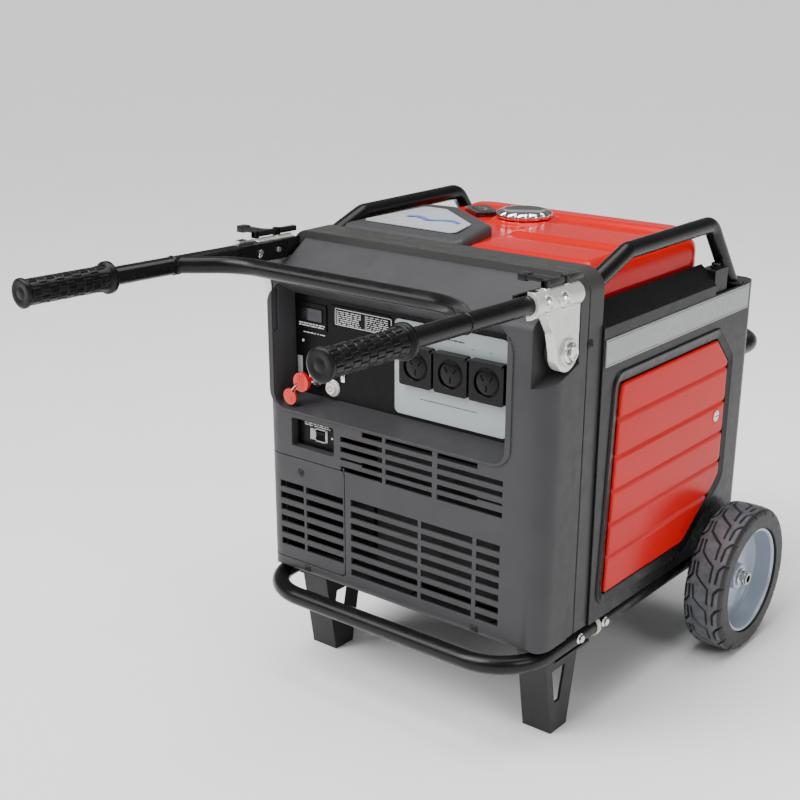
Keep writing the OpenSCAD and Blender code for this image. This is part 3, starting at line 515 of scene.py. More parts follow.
def sheet_solid(shape, top, under, place=Matrix()):
    """Closes a (rows, columns, 3) array of top points with an under side of the same size."""
    rows, columns = top.shape[:2]
    verts = [tuple(v) for v in top.reshape(-1, 3)] + [tuple(v) for v in under.reshape(-1, 3)]
    offset = rows * columns
    at_ = lambda i, j: i * columns + j
    faces = []
    for i in range(rows - 1):
        for j in range(columns - 1):
            a, b, c, d = at_(i, j), at_(i, j + 1), at_(i + 1, j + 1), at_(i + 1, j)
            faces += [(a, b, c, d), (offset + d, offset + c, offset + b, offset + a)]
    edge = [at_(0, j) for j in range(columns)] + [at_(i, columns - 1) for i in range(1, rows)]
    edge += [at_(rows - 1, j) for j in range(columns - 2, -1, -1)] + [at_(i, 0) for i in range(rows - 2, 0, -1)]
    for a, b in zip(edge, edge[1:] + edge[:1]):
        faces.append((b, a, offset + a, offset + b))
    return shape.add(verts, faces, place)


def spread(count, ends=0.5):
    """Even steps from 0 to 1 that crowd towards both ends."""
    even = np.linspace(0, 1, count)
    return (1 - ends) * even + ends * (0.5 - 0.5 * np.cos(even * math.pi))


def grid_mesh(name, points, body, slot, replaces=(), angle=50):
    """Mesh from a (rings, points, 3) array that closes both ways, in metres."""
    rings, count = points.shape[:2]
    index = np.arange(rings * count).reshape(rings, count)
    ahead = np.roll(index, -1, 0)
    faces = np.stack([index, ahead, np.roll(ahead, -1, 1), np.roll(index, -1, 1)], -1).reshape(-1, 4)
    mesh = bpy.data.meshes.new(name)
    mesh.from_pydata(points.reshape(-1, 3).tolist(), [], faces.tolist())
    work = bmesh.new()
    work.from_mesh(mesh)
    bmesh.ops.recalc_face_normals(work, faces=work.faces)
    work.to_mesh(mesh)
    work.free()
    piece = bpy.data.objects.new(name, mesh)
    bpy.context.scene.collection.objects.link(piece)
    mesh.materials.append(MATERIALS[slot])
    mesh.shade_smooth()
    mesh.set_sharp_from_angle(angle=math.radians(angle))
    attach(piece, body)
    if replaces:
        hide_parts(*replaces)
    return piece


def smooth_step(value, low, high):
    t = np.clip((value - low) / (high - low), 0, 1)
    return t * t * (3 - 2 * t)


def segment_distance(x, y, a, b):
    dx, dy = b[0] - a[0], b[1] - a[1]
    t = np.clip(((x - a[0]) * dx + (y - a[1]) * dy) / (dx * dx + dy * dy), 0, 1)
    return np.hypot(x - a[0] - t * dx, y - a[1] - t * dy)


# ---- Wheels ----

TREAD_PITCHES = 20
GROOVE_WIDTH = 3.6
GROOVE_DEPTH = 4.0
# Grooves of one pitch: across the tread in mm from its middle, and along it in shares of the pitch
TREAD_GROOVES = [
    [(-16, -0.56), (-13.5, -0.02), (-2, 0.26), (9.5, 0.48), (10.5, 1.12)],
    [(38, 0.22), (26, 0.35), (20.5, 0.58), (20, 1.14)],
    [(-22, -0.56), (-20.5, -0.04), (-26, 0.18), (-36, 0.16)],
    [(-29, -0.5), (-29, -0.04)],
]


def tread_depth(across, along, pitch):
    """Depth of the tread's grooves in mm at places across and along it."""
    nearest = np.full(across.shape, 99.0)
    for line in TREAD_GROOVES:
        for shift in (-2, -1, 0, 1, 2):
            points = [(x, (y + shift) * pitch) for x, y in line]
            for a, b in zip(points, points[1:]):
                nearest = np.minimum(nearest, segment_distance(across, along, a, b))
    half = GROOVE_WIDTH / 2
    return GROOVE_DEPTH * (1 - smooth_step(nearest, half - 0.5, half + 0.6))


def tyres():
    """Tyres with a siped tread, round shoulders and a ringed sidewall."""
    low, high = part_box("tyre_right")
    centre = (low + high) / 2
    radius = (high.z - low.z) / 2 / MM
    half = (high.x - low.x) / 2 / MM
    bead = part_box("rim_right")[1].z / MM - centre.z / MM
    rings = TREAD_PITCHES * 32
    power = 0.3
    even = np.linspace(-0.97, 0.97, 100)
    top = np.arccos(-np.sign(even) * np.abs(even) ** (1 / power))
    wall = np.linspace(0, top[0], 16)[:-1]
    t = np.concatenate([wall, top, (math.pi - wall)[::-1]])
    x = -half * np.sign(np.cos(t)) * np.abs(np.cos(t)) ** power
    rise = (radius - bead) * np.abs(np.sin(t)) ** power
    crown = 1.2 * (x / half) ** 2
    base = bead + rise - np.where(rise > 0.7 * (radius - bead), crown, 0)
    angle = np.arange(rings) / rings * TURN
    pitch = TURN * radius / TREAD_PITCHES
    across, turn = np.meshgrid(x, angle)
    level = np.broadcast_to(base, across.shape).copy()
    along = np.mod(turn * radius, pitch)
    on_tread = smooth_step(level, radius - 13, radius - 7)
    level -= tread_depth(across, along, pitch) * on_tread
    for place, size in ((0.28, 0.5), (0.36, 0.5), (0.78, 0.8)):
        ring = bead + place * (radius - bead)
        level += size * np.exp(-((base - ring) / 0.7) ** 2) * 0.4
    inner = np.linspace(half - 0.5, -half + 0.5, 12)[1:-1]
    across = np.concatenate([across, np.broadcast_to(inner, (rings, len(inner)))], 1)
    level = np.concatenate([level, np.full((rings, len(inner)), bead + 0.3)], 1)
    turn = np.broadcast_to(angle[:, None], level.shape)
    for side, name in ((1, "right"), (-1, "left")):
        points = np.stack([side * (centre.x + across * MM),
                           centre.y + level * MM * np.cos(turn),
                           centre.z + level * MM * np.sin(turn)], -1)
        grid_mesh("tread_" + name, points, "wheel_" + name, "tyre", ("tyre_" + name,))


def wheels():
    """Deep-dished pressed rims with rolled lips, a hub and a valve."""
    low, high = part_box("rim_right")
    centre = (low + high) / 2
    inner = 278 + 4
    outer = 344 - 4
    rim = [(90, inner + 1.5), (88.5, inner - 0.5), (86, inner), (84.5, inner + 3), (84.5, 296),
           (82.5, 299), (58, 300.5), (40, 297), (31, 291), (24.5, 290.5), (12, 290.5)]
    back = [(12, 321.5), (20.5, 321.5), (22, 320), (22.5, 308), (25, 303), (31, 299.5), (40, 302),
            (56, 306.5), (78, 306), (83, 309), (84.5, 316), (84.5, outer - 9), (82.5, outer - 3),
            (84, outer), (87.5, outer + 0.5), (89.9, outer - 1.5), (89.9, outer - 7),
            (88.5, outer - 12), (88.5, inner + 12), (89.9, inner + 7)]
    for side, name in ((1, "right"), (-1, "left")):
        place = Matrix.Translation((0, centre.y, centre.z)) @ at((0, 0, 0), (side, 0, 0))
        shape = Shape().lathe([(r if r > 12 else 10.05, z) for r, z in rim + back], place, 128)
        shape.make("rim_dish_" + name, "wheel_" + name, "rim_paint", angle=40, replaces=("rim_" + name,))
        valve = Shape()
        for k in range(1):
            spot = place @ at(mm(-62, 0, 305), (0.15, 0, 1))
            valve.lathe([(0, -2), (4, -2), (4, 4), (3, 6), (3, 16), (3.6, 16.5), (3.6, 23), (2.6, 24.5),
                         (0, 24.5)], spot, 24)
        valve.make("valve_" + name, "wheel_" + name, "seal_rubber", bevel=0.3)


# ---- Fasteners ----


def hex_points(radius, spin=0.0):
    return [(radius * math.cos(spin + TURN * i / 6), radius * math.sin(spin + TURN * i / 6))
            for i in range(6)]


def hex_head(shape, place, across, height, flange=None, dish=True):
    """Hexagon head with a chamfered top, on a sloping flange, with a dished face."""
    radius = across / math.sqrt(3)
    base = 0.0
    if flange:
        base = height * 0.25
        shape.lathe([(0, 0), (flange, 0), (flange, base * 0.5), (radius * 0.98, base * 1.5), (0, base * 1.5)],
                    place, 40)
    rings = [(radius, base), (radius, height - 0.12 * radius), (radius * 0.88, height)]
    if dish:
        rings += [(radius * 0.6, height), (radius * 0.52, height - 0.06 * radius)]
    verts, faces = [], []
    for r, z in rings:
        hexagon = r > radius * 0.9
        count = 6
        for i in range(count * 4):
            a = TURN * i / (count * 4)
            local = (a % (TURN / 6)) - TURN / 12
            edge = radius * math.cos(TURN / 12) / math.cos(local)
            rr = min(edge, edge * r / radius) if hexagon else min(r, edge)
            verts.append((rr * math.cos(a), rr * math.sin(a), z))
    n = 24
    for k in range(len(rings) - 1):
        for i in range(n):
            j = (i + 1) % n
            faces.append((k * n + i, k * n + j, (k + 1) * n + j, (k + 1) * n + i))
    faces.append(tuple(range(n))[::-1])
    top = (len(rings) - 1) * n
    faces.append(tuple(range(top, top + n)))
    shape.add(verts, faces, place)


def pan_head(shape, place, radius, height, steps=40):
    """Domed screw head with a cross recess that is really sunk."""
    rings = 12
    verts = []
    for k in range(rings + 1):
        r = radius * k / rings
        for i in range(steps):
            a = TURN * i / steps
            x, y = r * math.cos(a), r * math.sin(a)
            z = height * math.sqrt(max(0.0, 1 - (k / rings) ** 2.6))
            slot = min(abs(x), abs(y))
            if slot < radius * 0.13 and r < radius * 0.62:
                z -= height * 0.7 * (1 - (r / (radius * 0.62)) ** 3)
            verts.append((x, y, z))
    faces = []
    for k in range(rings):
        for i in range(steps):
            j = (i + 1) % steps
            faces.append((k * steps + i, (k + 1) * steps + i, (k + 1) * steps + j, k * steps + j))
    faces.append(tuple(range(rings * steps, (rings + 1) * steps))[::-1])
    shape.add(verts, faces, place)


def fasteners():
    """Nuts, bolts and screws that hold the body together."""
    low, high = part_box("fasteners")
    axle_low, axle_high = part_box("axle")
    axle_y = (axle_low.y + axle_high.y) / 2
    wheel = (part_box("tyre_right")[0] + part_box("tyre_right")[1]) / 2
    shape = Shape()
    for side in (1, -1):
        hub = at((side * 0.3225, wheel.y, wheel.z), (side, 0, 0))
        shape.lathe([(10.05, 0), (14.5, 0), (14.5, 2), (13.5, 2.6), (10.05, 2.6)], hub, 48)
        hex_head(shape, hub @ at(mm(0, 0, 2.5)), 21.5, 7.5, dish=False)
        cap = at((side * 0.332, wheel.y, wheel.z), (side, 0, 0))
        shape.lathe([(0, 0), (8.2, 0), (8.2, 2.5), (7, 4), (0, 4)], cap, 40)
    shape.make("wheel_nuts", "machine", "zinc", bevel=0.25, replaces=("fasteners",))
    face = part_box("front_door")[0].y
    dark = Shape()
    for x, z in ((-174, 182), (150, 181)):
        spot = at((x * MM, face, z * MM), (0, -1, 0))
        dark.rounded((-6.5, -5.5, -1.5), (6.5, 5.5, 0.5), 2, spot)
        pan_head(dark, spot @ at(mm(0, 0, 0.4)), 4.2, 1.6)
    for side in (1, -1):
        spot = at((side * 0.2579, -0.057, 0.602), (side, 0, 0))
        dark.lathe([(0, -0.5), (7.6, -0.5), (7.4, 0.8), (6.2, 1.2), (0, 1.2)], spot, 36)
        pan_head(dark, spot @ at(mm(0, 0, 1.1)), 5.2, 1.9)
    dark.make("front_screws", "machine", "lever_plastic", bevel=0.25)
    spot = at((-0.184, face + 0.0008, 0.341), (0, -1, 0))
    door = Shape().lathe([(0, -0.8), (7.6, -0.8), (7.6, 0.7), (6.4, 1.3), (0, 1.3)], spot, 40)
    pan_head(door, spot @ at(mm(0, 0, 1.1)), 5.0, 1.7)
    door.make("door_screw", "door", "lever_plastic", bevel=0.2)
    knob = Shape()
    for side in (1, -1):
        place = at((side * 0.245, 0.330, 0.640))
        knob.lathe([(0, 0.1), (8.5, 0.1), (8.5, 1.6), (5, 2.2), (5, 3), (7, 3.4), (7, 6), (6, 7), (0, 7)],
                   place, 32)
    knob.make("deck_knobs", "machine", "lever_plastic", bevel=0.3)


def handle_bolts():
    """Bolts through the brackets and the two pivot bolts."""
    pivot_low, pivot_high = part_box("pivot_pins")
    pivot = Vector((0, (pivot_low.y + pivot_high.y) / 2, (pivot_low.z + pivot_high.z) / 2))
    shape = Shape()
    for side in (1, -1):
        for y, z in ((-181, 682.5), (-143, 681)):
            place = at((side * 0.2668, y * MM, z * MM), (side, 0, 0))
            hex_head(shape, place, 12, 5.5, flange=9.6)
            shape.lathe([(0, -34), (4, -34), (4, 1), (0, 1)], place, 24)
        place = at((side * 0.2668, -0.162, 0.6818), (side, 0, 0))
        shape.lathe([(0, -10), (3, -10), (3, 1.2), (2.2, 2), (0, 2)], place, 24)
        pan_head(shape, at((side * 0.2364, -0.181, 0.6775), (-side, 0, 0)), 4.2, 2.2)
    shape.make("clamp_bolts", "handle", "zinc", bevel=0.2, replaces=("bracket_bolts",))
    inner = Shape()
    for side in (1, -1):
        pan_head(inner, at((side * 0.2364, -0.143, 0.681), (-side, 0, 0)), 3.6, 1.8)
    # The screws inside the brackets' pockets take the painted hole shade.
    inner.make("inner_screws", "handle", "bracket_cast", look="painted_hole_shade")
    pins = Shape()
    for side in (1, -1):
        place = at((side * 0.2628, pivot.y, pivot.z), (side, 0, 0), 0.2)
        pins.lathe([(0, -26.5), (7.95, -26.5), (7.95, 0.2), (0, 0.2)], place, 48)
        hex_head(pins, place, 19, 8, flange=14)
    pins.make("pivot_bolts", "machine", "zinc", bevel=0.3, replaces=("pivot_pins",))
    bosses = Shape()
    for side in (1, -1):
        place = at((side * 0.2598, pivot.y, pivot.z), (side, 0, 0))
        bosses.lathe([(15.2, 0), (19.5, 0), (18.8, 4.8), (17.6, 5.6), (15.9, 5.2), (15.2, 4.2)], place, 64)
        for y, z in ((-181, 682.5), (-143, 681)):
            clamp = at((side * 0.2655, y * MM, z * MM), (side, 0, 0))
            bosses.lathe([(10.2, -3), (12.5, -3), (12.2, 1.2), (11.4, 1.6), (10.2, 1.2)], clamp, 48)
    bosses.make("bracket_bosses", "handle", "bracket_cast", bevel=0.3)


# ---- Handle ----

GRIP_ROWS = 9
GRIP_PADS = 12


def grips():
    """Rubber grips with staggered raised pads and a flange at each end."""
    for side, name in ((1, "right"), (-1, "left")):
        low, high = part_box("grip_" + name)
        tip = Vector((side * 0.252, low.y, 0))
        tilt = math.radians(1.7)
        along = Vector((0, math.cos(tilt), -math.sin(tilt)))
        up = Vector((0, math.sin(tilt), math.cos(tilt)))
        start = Vector((side * 0.252, -0.118, 0.605)) - along * 0.480 + up * 0.076
        length = 144.0
        body = 16.0
        rows, steps = 260, 168
        s = np.linspace(0, length, rows)
        flange = 3.6 * (1 - smooth_step(s, 4.5, 8)) + 6.0 * smooth_step(s, length - 9, length - 6.5)
        flange -= 3.0 * smooth_step(-s, -1.6, 0) + 1.5 * smooth_step(s, length - 1.5, length)
        neck = 1.6 * smooth_step(s, length - 26, length - 8) * (1 - smooth_step(s, length - 9, length - 6.5))
        angle = np.arange(steps) / steps * TURN
        turn, place = np.meshgrid(angle, s)
        row_length = (length - 22) / GRIP_ROWS
        row = np.floor((place - 8) / row_length)
        u = np.mod((place - 8) / row_length, 1.0) * row_length
        v = np.mod(turn / TURN * GRIP_PADS + 0.5 * np.mod(row, 2), 1.0) * (TURN * body / GRIP_PADS)
        width = TURN * body / GRIP_PADS
        gap = np.minimum(np.minimum(u, row_length - u), np.minimum(v, width - v))
        pads = 1.25 * smooth_step(gap, 0.35, 1.0)
        zone = smooth_step(place, 7.5, 8.5) * (1 - smooth_step(place, length - 15, length - 13.5))
        radius = body + pads * zone + (flange + neck)[:, None]
        ring = lambda k, r: [start + along * (s[k] * MM) + (Vector((1, 0, 0)) * math.cos(a)
                             + up * math.sin(a)) * (r[i] * MM) for i, a in enumerate(angle)]
        cloud = [ring(k, radius[k]) for k in range(rows)]
        bore = np.full(steps, 12.75)
        inside = [ring(k, bore) for k in (rows - 1, rows // 2, 12)]
        dome = []
        for r, depth in ((0.02, -0.2), (6, -0.2), (7, 0.4), (9.5, 0.4), (10.5, -0.1), (15, 0.2)):
            dome.append([start + along * (depth * MM) + (Vector((1, 0, 0)) * math.cos(a)
                        + up * math.sin(a)) * (r * MM) for a in angle])
        centre_back = [[start + along * (s[12] * MM) + (Vector((1, 0, 0)) * math.cos(a)
                       + up * math.sin(a)) * (0.02 * MM) for a in angle]]
        points = np.array([[tuple(p) for p in ring_points]
                           for ring_points in dome + cloud + inside + centre_back])
        grid_mesh("grip_pads_" + name, points, "handle", "grip_rubber", ("grip_" + name,), angle=60)


def handle_place(x=0.0):
    """Matrix of the handle's own frame: origin on the pivot, Y along the arms."""
    return Matrix.Translation(mm(x, PIVOT[1], PIVOT[2])) @ Matrix.Rotation(math.radians(-HANDLE_TILT), 4, "X")


def handle_details():
    """Neat welds where the cross tube meets the arms, and black cheeks inside the brackets."""
    beads, cheeks = Shape(), Shape()
    for side, name in ((1, "right"), (-1, "left")):
        for k in range(26):
            t = k / 25
            swing = math.sin(math.pi * t)
            for up in (1, -1):
                spot = handle_place() @ mm(side * (252 - 12.4 + 3.6 * swing), -205 - 32 * t, 76 + up * 11.2 * swing)
                beads.lathe([(0, -0.8), (0.7, -0.6), (1.1, 0), (0.7, 0.6), (0, 0.8)], at(spot, (side, 0, 0.2)), 10)
        low, high = sorted((side * 236.4, side * 239.2))
        turn = handle_place() @ Matrix.Rotation(math.radians(90), 4, "Y")
        outline = [(-87, -64), (-90, 22), (-66, 22), (-60, -20), (-64, -52), (-70, -64)]
        cheeks.prism([(z, y) for z, y in outline], low, high, turn)
        seam = handle_place(side * 252) @ at(mm(0, -222, 76), (0, -1, 0))
        beads.lathe([(12.6, 0), (13.6, 0.4), (14.0, 1.6), (13.6, 2.8), (12.6, 3.2)], seam, 48)
    beads.make("handle_welds", "handle", "frame_paint", angle=80)
    cheeks.make("bracket_cheeks", "handle", "lever_plastic", bevel=0.8)


def levers():
    """Flat latch bars with a finger tab, a thick tab end and a gusset."""
    for side, name in ((1, "right"), (-1, "left")):
        place = handle_place(side * 255) @ Matrix.Translation(mm(0, 0, 98))
        shape = Shape().lathe([(0, 0), (3.98, 0), (3.98, 86), (0, 86)], place @ at(mm(0, -56, 0), (0, 1, 0)), 32)
        shape.box((-3.9, -51, -2.9), (3.9, -15, 4.6), place)
        shape.box((-3.9, -5, -2.9), (3.9, 30, 4.6), place)
        shape.rounded((-50, -43, -1.4), (1, -27, 4.8), 2, place)
        shape.rounded((-52, -44, -3.4), (-37, -26, 6.2), 3, place)
        shape.prism([(-24, -27.5), (0, -27.5), (0, -16)], 0.6, 4.2, place)
        shape.make("lever_bar_" + name, "lever_" + name, "lever_plastic", bevel=0.5,
                   replaces=("lock_lever_" + name,))


# ---- Tank and top ----


def filler_cap():
    """Chromed cap with twelve scallops and a dished top."""
    low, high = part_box("fuel_cap")
    centre = Vector(((low.x + high.x) / 2, (low.y + high.y) / 2, 0))
    radius = (high.x - low.x) / 2 / MM
    top = high.z
    profile = [(0, -1.8), (27, -1.6), (31, -0.4), (35, 0), (38.5, -0.6), (41.5, -2.2), (43.8, -4.6),
               (44.2, -8.5), (43.4, -11.6), (41.5, -12.6), (38, -12.6), (28, -12.5), (27.5, -13),
               (27.5, -24), (24, -24), (24, -14), (0, -14)]
    lobes = 12

    def scallop(r, z, a):
        share = max(0.0, min(1.0, (r - 34) / 8))
        if z < -12.55:
            share = 0
        wave = abs(math.cos(lobes * a / 2)) ** 0.7
        return r + share * (1.9 - 4.2 * (1 - wave))

    shape = Shape().lathe(profile, at((centre.x, centre.y, top)), 288, scallop)
    shape.make("cap_chrome", "fuel_cap", "chrome", angle=50, replaces=("fuel_cap",))
    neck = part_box("fuel_tank")[1].z
    collar = Shape().lathe([(34, -6), (38, -6), (37.5, -1.5), (36, 0), (34, 0)],
                           at((centre.x, centre.y, top - 0.0132)), 96)
    collar.make("filler_collar", "machine", "tank_paint", angle=40)


def gauge_face():
    """Clear-topped fuel gauge with a scale and a needle."""
    low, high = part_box("fuel_gauge")
    centre = (low + high) / 2
    place = Matrix.Translation((centre.x, centre.y, high.z)) @ Matrix.Rotation(math.radians(-37), 4, "Z")
    dial = Shape().rounded((-24, -12, 0.05), (24, 12, 0.5), 4, place)
    dial.make("gauge_dial", "machine", "gauge_plastic", look="print_dark")
    marks = Shape()
    for i in range(7):
        a = math.radians(150 - 20 * i)
        spot = place @ at(mm(15 * math.cos(a), -7 + 15 * math.sin(a) * 0.9, 0.5), (0, 0, 1), a)
        marks.box((-1.6, -0.35, 0), (1.6, 0.35, 0.2), spot)
    marks.make("gauge_marks", "machine", "gauge_plastic", look="print_white")
    needle = Shape().prism([(-1, -7), (1, -7), (0.3, 5)], 0.7, 1.0, place)
    needle.make("gauge_needle", "machine", "gauge_plastic", look="print_red")


# ---- Body shells ----

COVER_CORNERS = [(8, 208), (250, 208), (362, 290), (362, 486), (320, 528), (24, 528)]
COVER_RADII = [5, 14, 16, 10, 12, 12]
COVER_GROOVES = [267, 318, 369, 421, 478]
SURROUND_RADII = [5, 14, 16, 10, 12, 5]
COVER_FACE = 265.0


def red_covers():
    """Red side covers whose face steps in at each groove, with notches and a hinge bar."""
    outline = grow_outline(COVER_CORNERS, COVER_RADII)
    levels = [208.0, 208.3, 209, 210.5, 212.5]
    for groove in COVER_GROOVES:
        levels += [groove - 9.5, groove - 8.5, groove - 4, groove - 0.2, groove + 0.2, groove + 1.2]
    levels += [523, 525.5, 527, 527.7, 528]
    levels = sorted(set(levels + list(range(222, 520, 12))))
    across = spread(64, 0.75)
    grid = np.zeros((len(levels), len(across), 2))
    for i, level in enumerate(levels):
        left, right = row_span(outline, min(max(level, 208.01), 527.99))
        grid[i, :, 0] = left + (right - left) * across
        grid[i, :, 1] = level
    depth = round_over(outline_gap(grid[..., 0], grid[..., 1], outline), 3.2)
    for groove in COVER_GROOVES:
        below = (groove - grid[..., 1]) / 8.5
        slope = np.where((below >= 0) & (below <= 1), 3.0 * (1 - below), 0)
        depth = np.maximum(depth, np.where(np.abs(grid[..., 1] - groove) < 0.25, 3.0, slope))
    for side, name in ((1, "right"), (-1, "left")):
        top = np.stack([side * (COVER_FACE - depth), grid[..., 0], grid[..., 1]], -1)
        under = top.copy()
        under[..., 0] = side * 261.2
        skin = sheet_solid(Shape(), top, under)
        ribs = skin
        for level in (240, 345, 500):
            ribs.box((min(side * 257, side * 261.4), 40, level), (max(side * 257, side * 261.4), 300, level + 3))
        skin.make("cover_skin_" + name, "cover_" + name, "cover_red", angle=38,
                  replaces=("service_cover_" + name,))
        lean = Vector((0, 16, 320)).normalized()
        bar = Shape().lathe([(0, 0), (2.6, 0), (2.6, 318), (0, 318)],
                            at(mm(side * 259.4, 12.6, 209), lean), 24)
        bar.make("cover_hinge_" + name, "cover_" + name, "trim_plastic")
        notches = Shape()
        for groove in COVER_GROOVES:
            left, right = row_span(outline, groove - 2)
            notches.rounded((-1.6, -4.5, -1.2), (2.0, 3.5, 1.4), 0.8,
                            at(mm(side * 264.2, right - 0.6, groove), (side, 0, 0), 0))
        notches.make("cover_notches_" + name, "cover_" + name, "seal_rubber", bevel=0.3)


def cover_surrounds():
    """Sloped mouldings round the red covers."""
    rings = [(3.6, 261.6), (3.6, 262.2), (15.5, 264.6), (17.2, 265.2), (18.8, 264.8), (20.4, 261.6)]
    for side, name in ((1, "right"), (-1, "left")):
        loops = [[(side * x, y, z) for y, z in grow_outline(COVER_CORNERS, SURROUND_RADII, grow, 8)]
                 for grow, x in rings]
        count = len(loops[0])
        verts = [v for loop in loops for v in loop]
        faces = []
        for k in range(len(loops)):
            m = (k + 1) % len(loops)
            for i in range(count):
                j = (i + 1) % count
                faces.append((k * count + i, k * count + j, m * count + j, m * count + i))
        Shape().add(verts, faces, Matrix()).make("cover_surround_" + name, "machine", "trim_plastic",
                                                 bevel=0.5, angle=20)


def tank_shell():
    """Pressed tank with rolled edges and wide soft ribs."""
    low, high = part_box("fuel_tank")
    low, high = low / MM, high / MM
    top = 690.0
    corners = [(low.x, low.y), (high.x, low.y), (high.x, high.y), (low.x, high.y)]
    radii = [30, 30, 66, 66]
    outline = grow_outline(corners, radii, 0, 16)
    rows = low.y + (high.y - low.y) * spread(150, 0.6)
    across = spread(190, 0.6)
    grid = np.zeros((len(rows), len(across), 2))
    for i, y in enumerate(rows):
        left, right = row_span(outline, min(max(y, low.y + 0.02), high.y - 0.02))
        grid[i, :, 0] = left + (right - left) * across
        grid[i, :, 1] = y
    x, y = grid[..., 0], grid[..., 1]
    height = top - round_over(outline_gap(x, y, outline), 24)
    slope = 11
    for x0, x1, y0, y1, rise in ((8, 200, 20, 92, 5), (0, 200, 138, 228, 5), (-190, 190, 291, 340, 7)):
        share = smooth_step(x, x0 - slope, x0 + 2) * (1 - smooth_step(x, x1 - 2, x1 + slope + 6))
        share = share * smooth_step(y, y0 - slope, y0 + 2) * (1 - smooth_step(y, y1 - 2, y1 + slope))
        height = height + rise * share
    cap_low, cap_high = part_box("fuel_cap")
    cap = (cap_low + cap_high) / 2 / MM
    reach = np.hypot(x - cap.x, y - cap.y)
    height = height + 4.5 * (1 - smooth_step(reach, 47, 58))
    upper = np.stack([x, y, np.minimum(height, high.z - 0.2)], -1)
    under = upper.copy()
    under[..., 2] = low.z
    sheet_solid(Shape(), upper, under).make("tank_pressing", "machine", "tank_paint", angle=60,
                                            replaces=("fuel_tank",))


def dark_housing():
    """Wedge housing with round edges and a sunk pale sheet that carries a plain wave."""
    low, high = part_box("info_housing")
    top, base = high.z / MM, low.z / MM - 3
    corners = [(-222, -14), (-2, -14), (6, -4), (-20, 105), (-165, 215), (-222, 205)]
    radii = [10, 5, 8, 22, 22, 18]

    def roof(x, y):
        return top - np.where(y < 40, (40 - y) * 0.11, (y - 40) * 0.024)

    def dome(outline, inset, edge, sink):
        count = len(outline)
        centre = np.array([(-112, 80)])
        shares = [1, 1, 0.995, 0.985, 0.97, 0.95, 0.93, 0.9] if not sink else [1, 0.6]
        ring_points = []
        for share in shares:
            ring_points.append(centre + (np.array(outline) - centre) * share)
        loops = []
        for k, ring in enumerate(ring_points):
            gap = outline_gap(ring[:, 0], ring[:, 1], outline) if k else np.zeros(count)
            z = roof(ring[:, 0], ring[:, 1]) - round_over(gap, edge) - inset
            if k == 0:
                z = np.full(count, base)
            loops.append(np.column_stack([ring, z]))
        verts = [tuple(v) for loop in loops for v in loop]
        faces = []
        for k in range(len(loops) - 1):
            for i in range(count):
                j = (i + 1) % count
                faces.append((k * count + i, k * count + j, (k + 1) * count + j, (k + 1) * count + i))
        last = (len(loops) - 1) * count
        faces.append(tuple(range(last, last + count)))
        faces.append(tuple(range(count))[::-1])
        return verts, faces

    outline = grow_outline(corners, radii)
    verts, faces = dome(outline, 0, 7, False)
    Shape().add(verts, faces, Matrix()).make("housing_shell", "machine", "cover_plastic", angle=40,
                                             replaces=("info_housing",))
    label = [(-205, 20), (-36, 20), (-30, 28), (-48, 88), (-162, 178), (-198, 178), (-205, 170)]
    edge = grow_outline(label, [6, 6, 6, 10, 14, 6, 6])
    sheet = Shape()
    points = [(x, y, float(roof(x, y)) + 0.12) for x, y in edge]
    floor = [(x, y, z - 1.5) for x, y, z in points]
    count = len(points)
    sheet.add(points + floor, [tuple(range(count)), tuple(range(count, 2 * count))[::-1]]
              + [(i, count + i, count + (i + 1) % count, (i + 1) % count) for i in range(count)], Matrix())
    sheet.make("info_sheet", "machine", "stripe_label", look="sheet_pale")
    wave = Shape()
    verts, faces = [], []
    steps = 60
    for k in range(steps + 1):
        x = -168 + 104 * k / steps
        y = 82 + 7 * math.sin(k / steps * TURN * 1.6)
        verts += [(x, y - 5, top - 0.4), (x, y + 5, top - 0.4), (x, y - 5, float(roof(x, y)) + 0.45),
                  (x, y + 5, float(roof(x, y)) + 0.45)]
    for k in range(steps):
        a, b = 4 * k, 4 * k + 4
        faces += [(a + 2, b + 2, b + 3, a + 3), (a, a + 1, b + 1, b), (a, b, b + 2, a + 2),
                  (a + 1, a + 3, b + 3, b + 1)]
    faces += [(0, 2, 3, 1), (4 * steps, 4 * steps + 1, 4 * steps + 3, 4 * steps + 2)]
    wave.add(verts, faces, Matrix())
    wave.make("info_wave", "machine", "stripe_label", look="print_blue")


# ---- Front panel ----


def bars(shape, left, right, height, rows, step, seed, place_y, bar=1.0, gaps=3):
    """Rows of short plain bars, where the machine has small print."""
    pick = random.Random(seed)
    for row in range(rows):
        z = height - step * row
        x = left
        while x < right - 2:
            size = pick.uniform(2.5, 9)
            end = min(right, x + size)
            shape.box((x, place_y - 0.25, z - bar / 2), (end, place_y, z + bar / 2))
            x = end + pick.uniform(0.9, gaps)


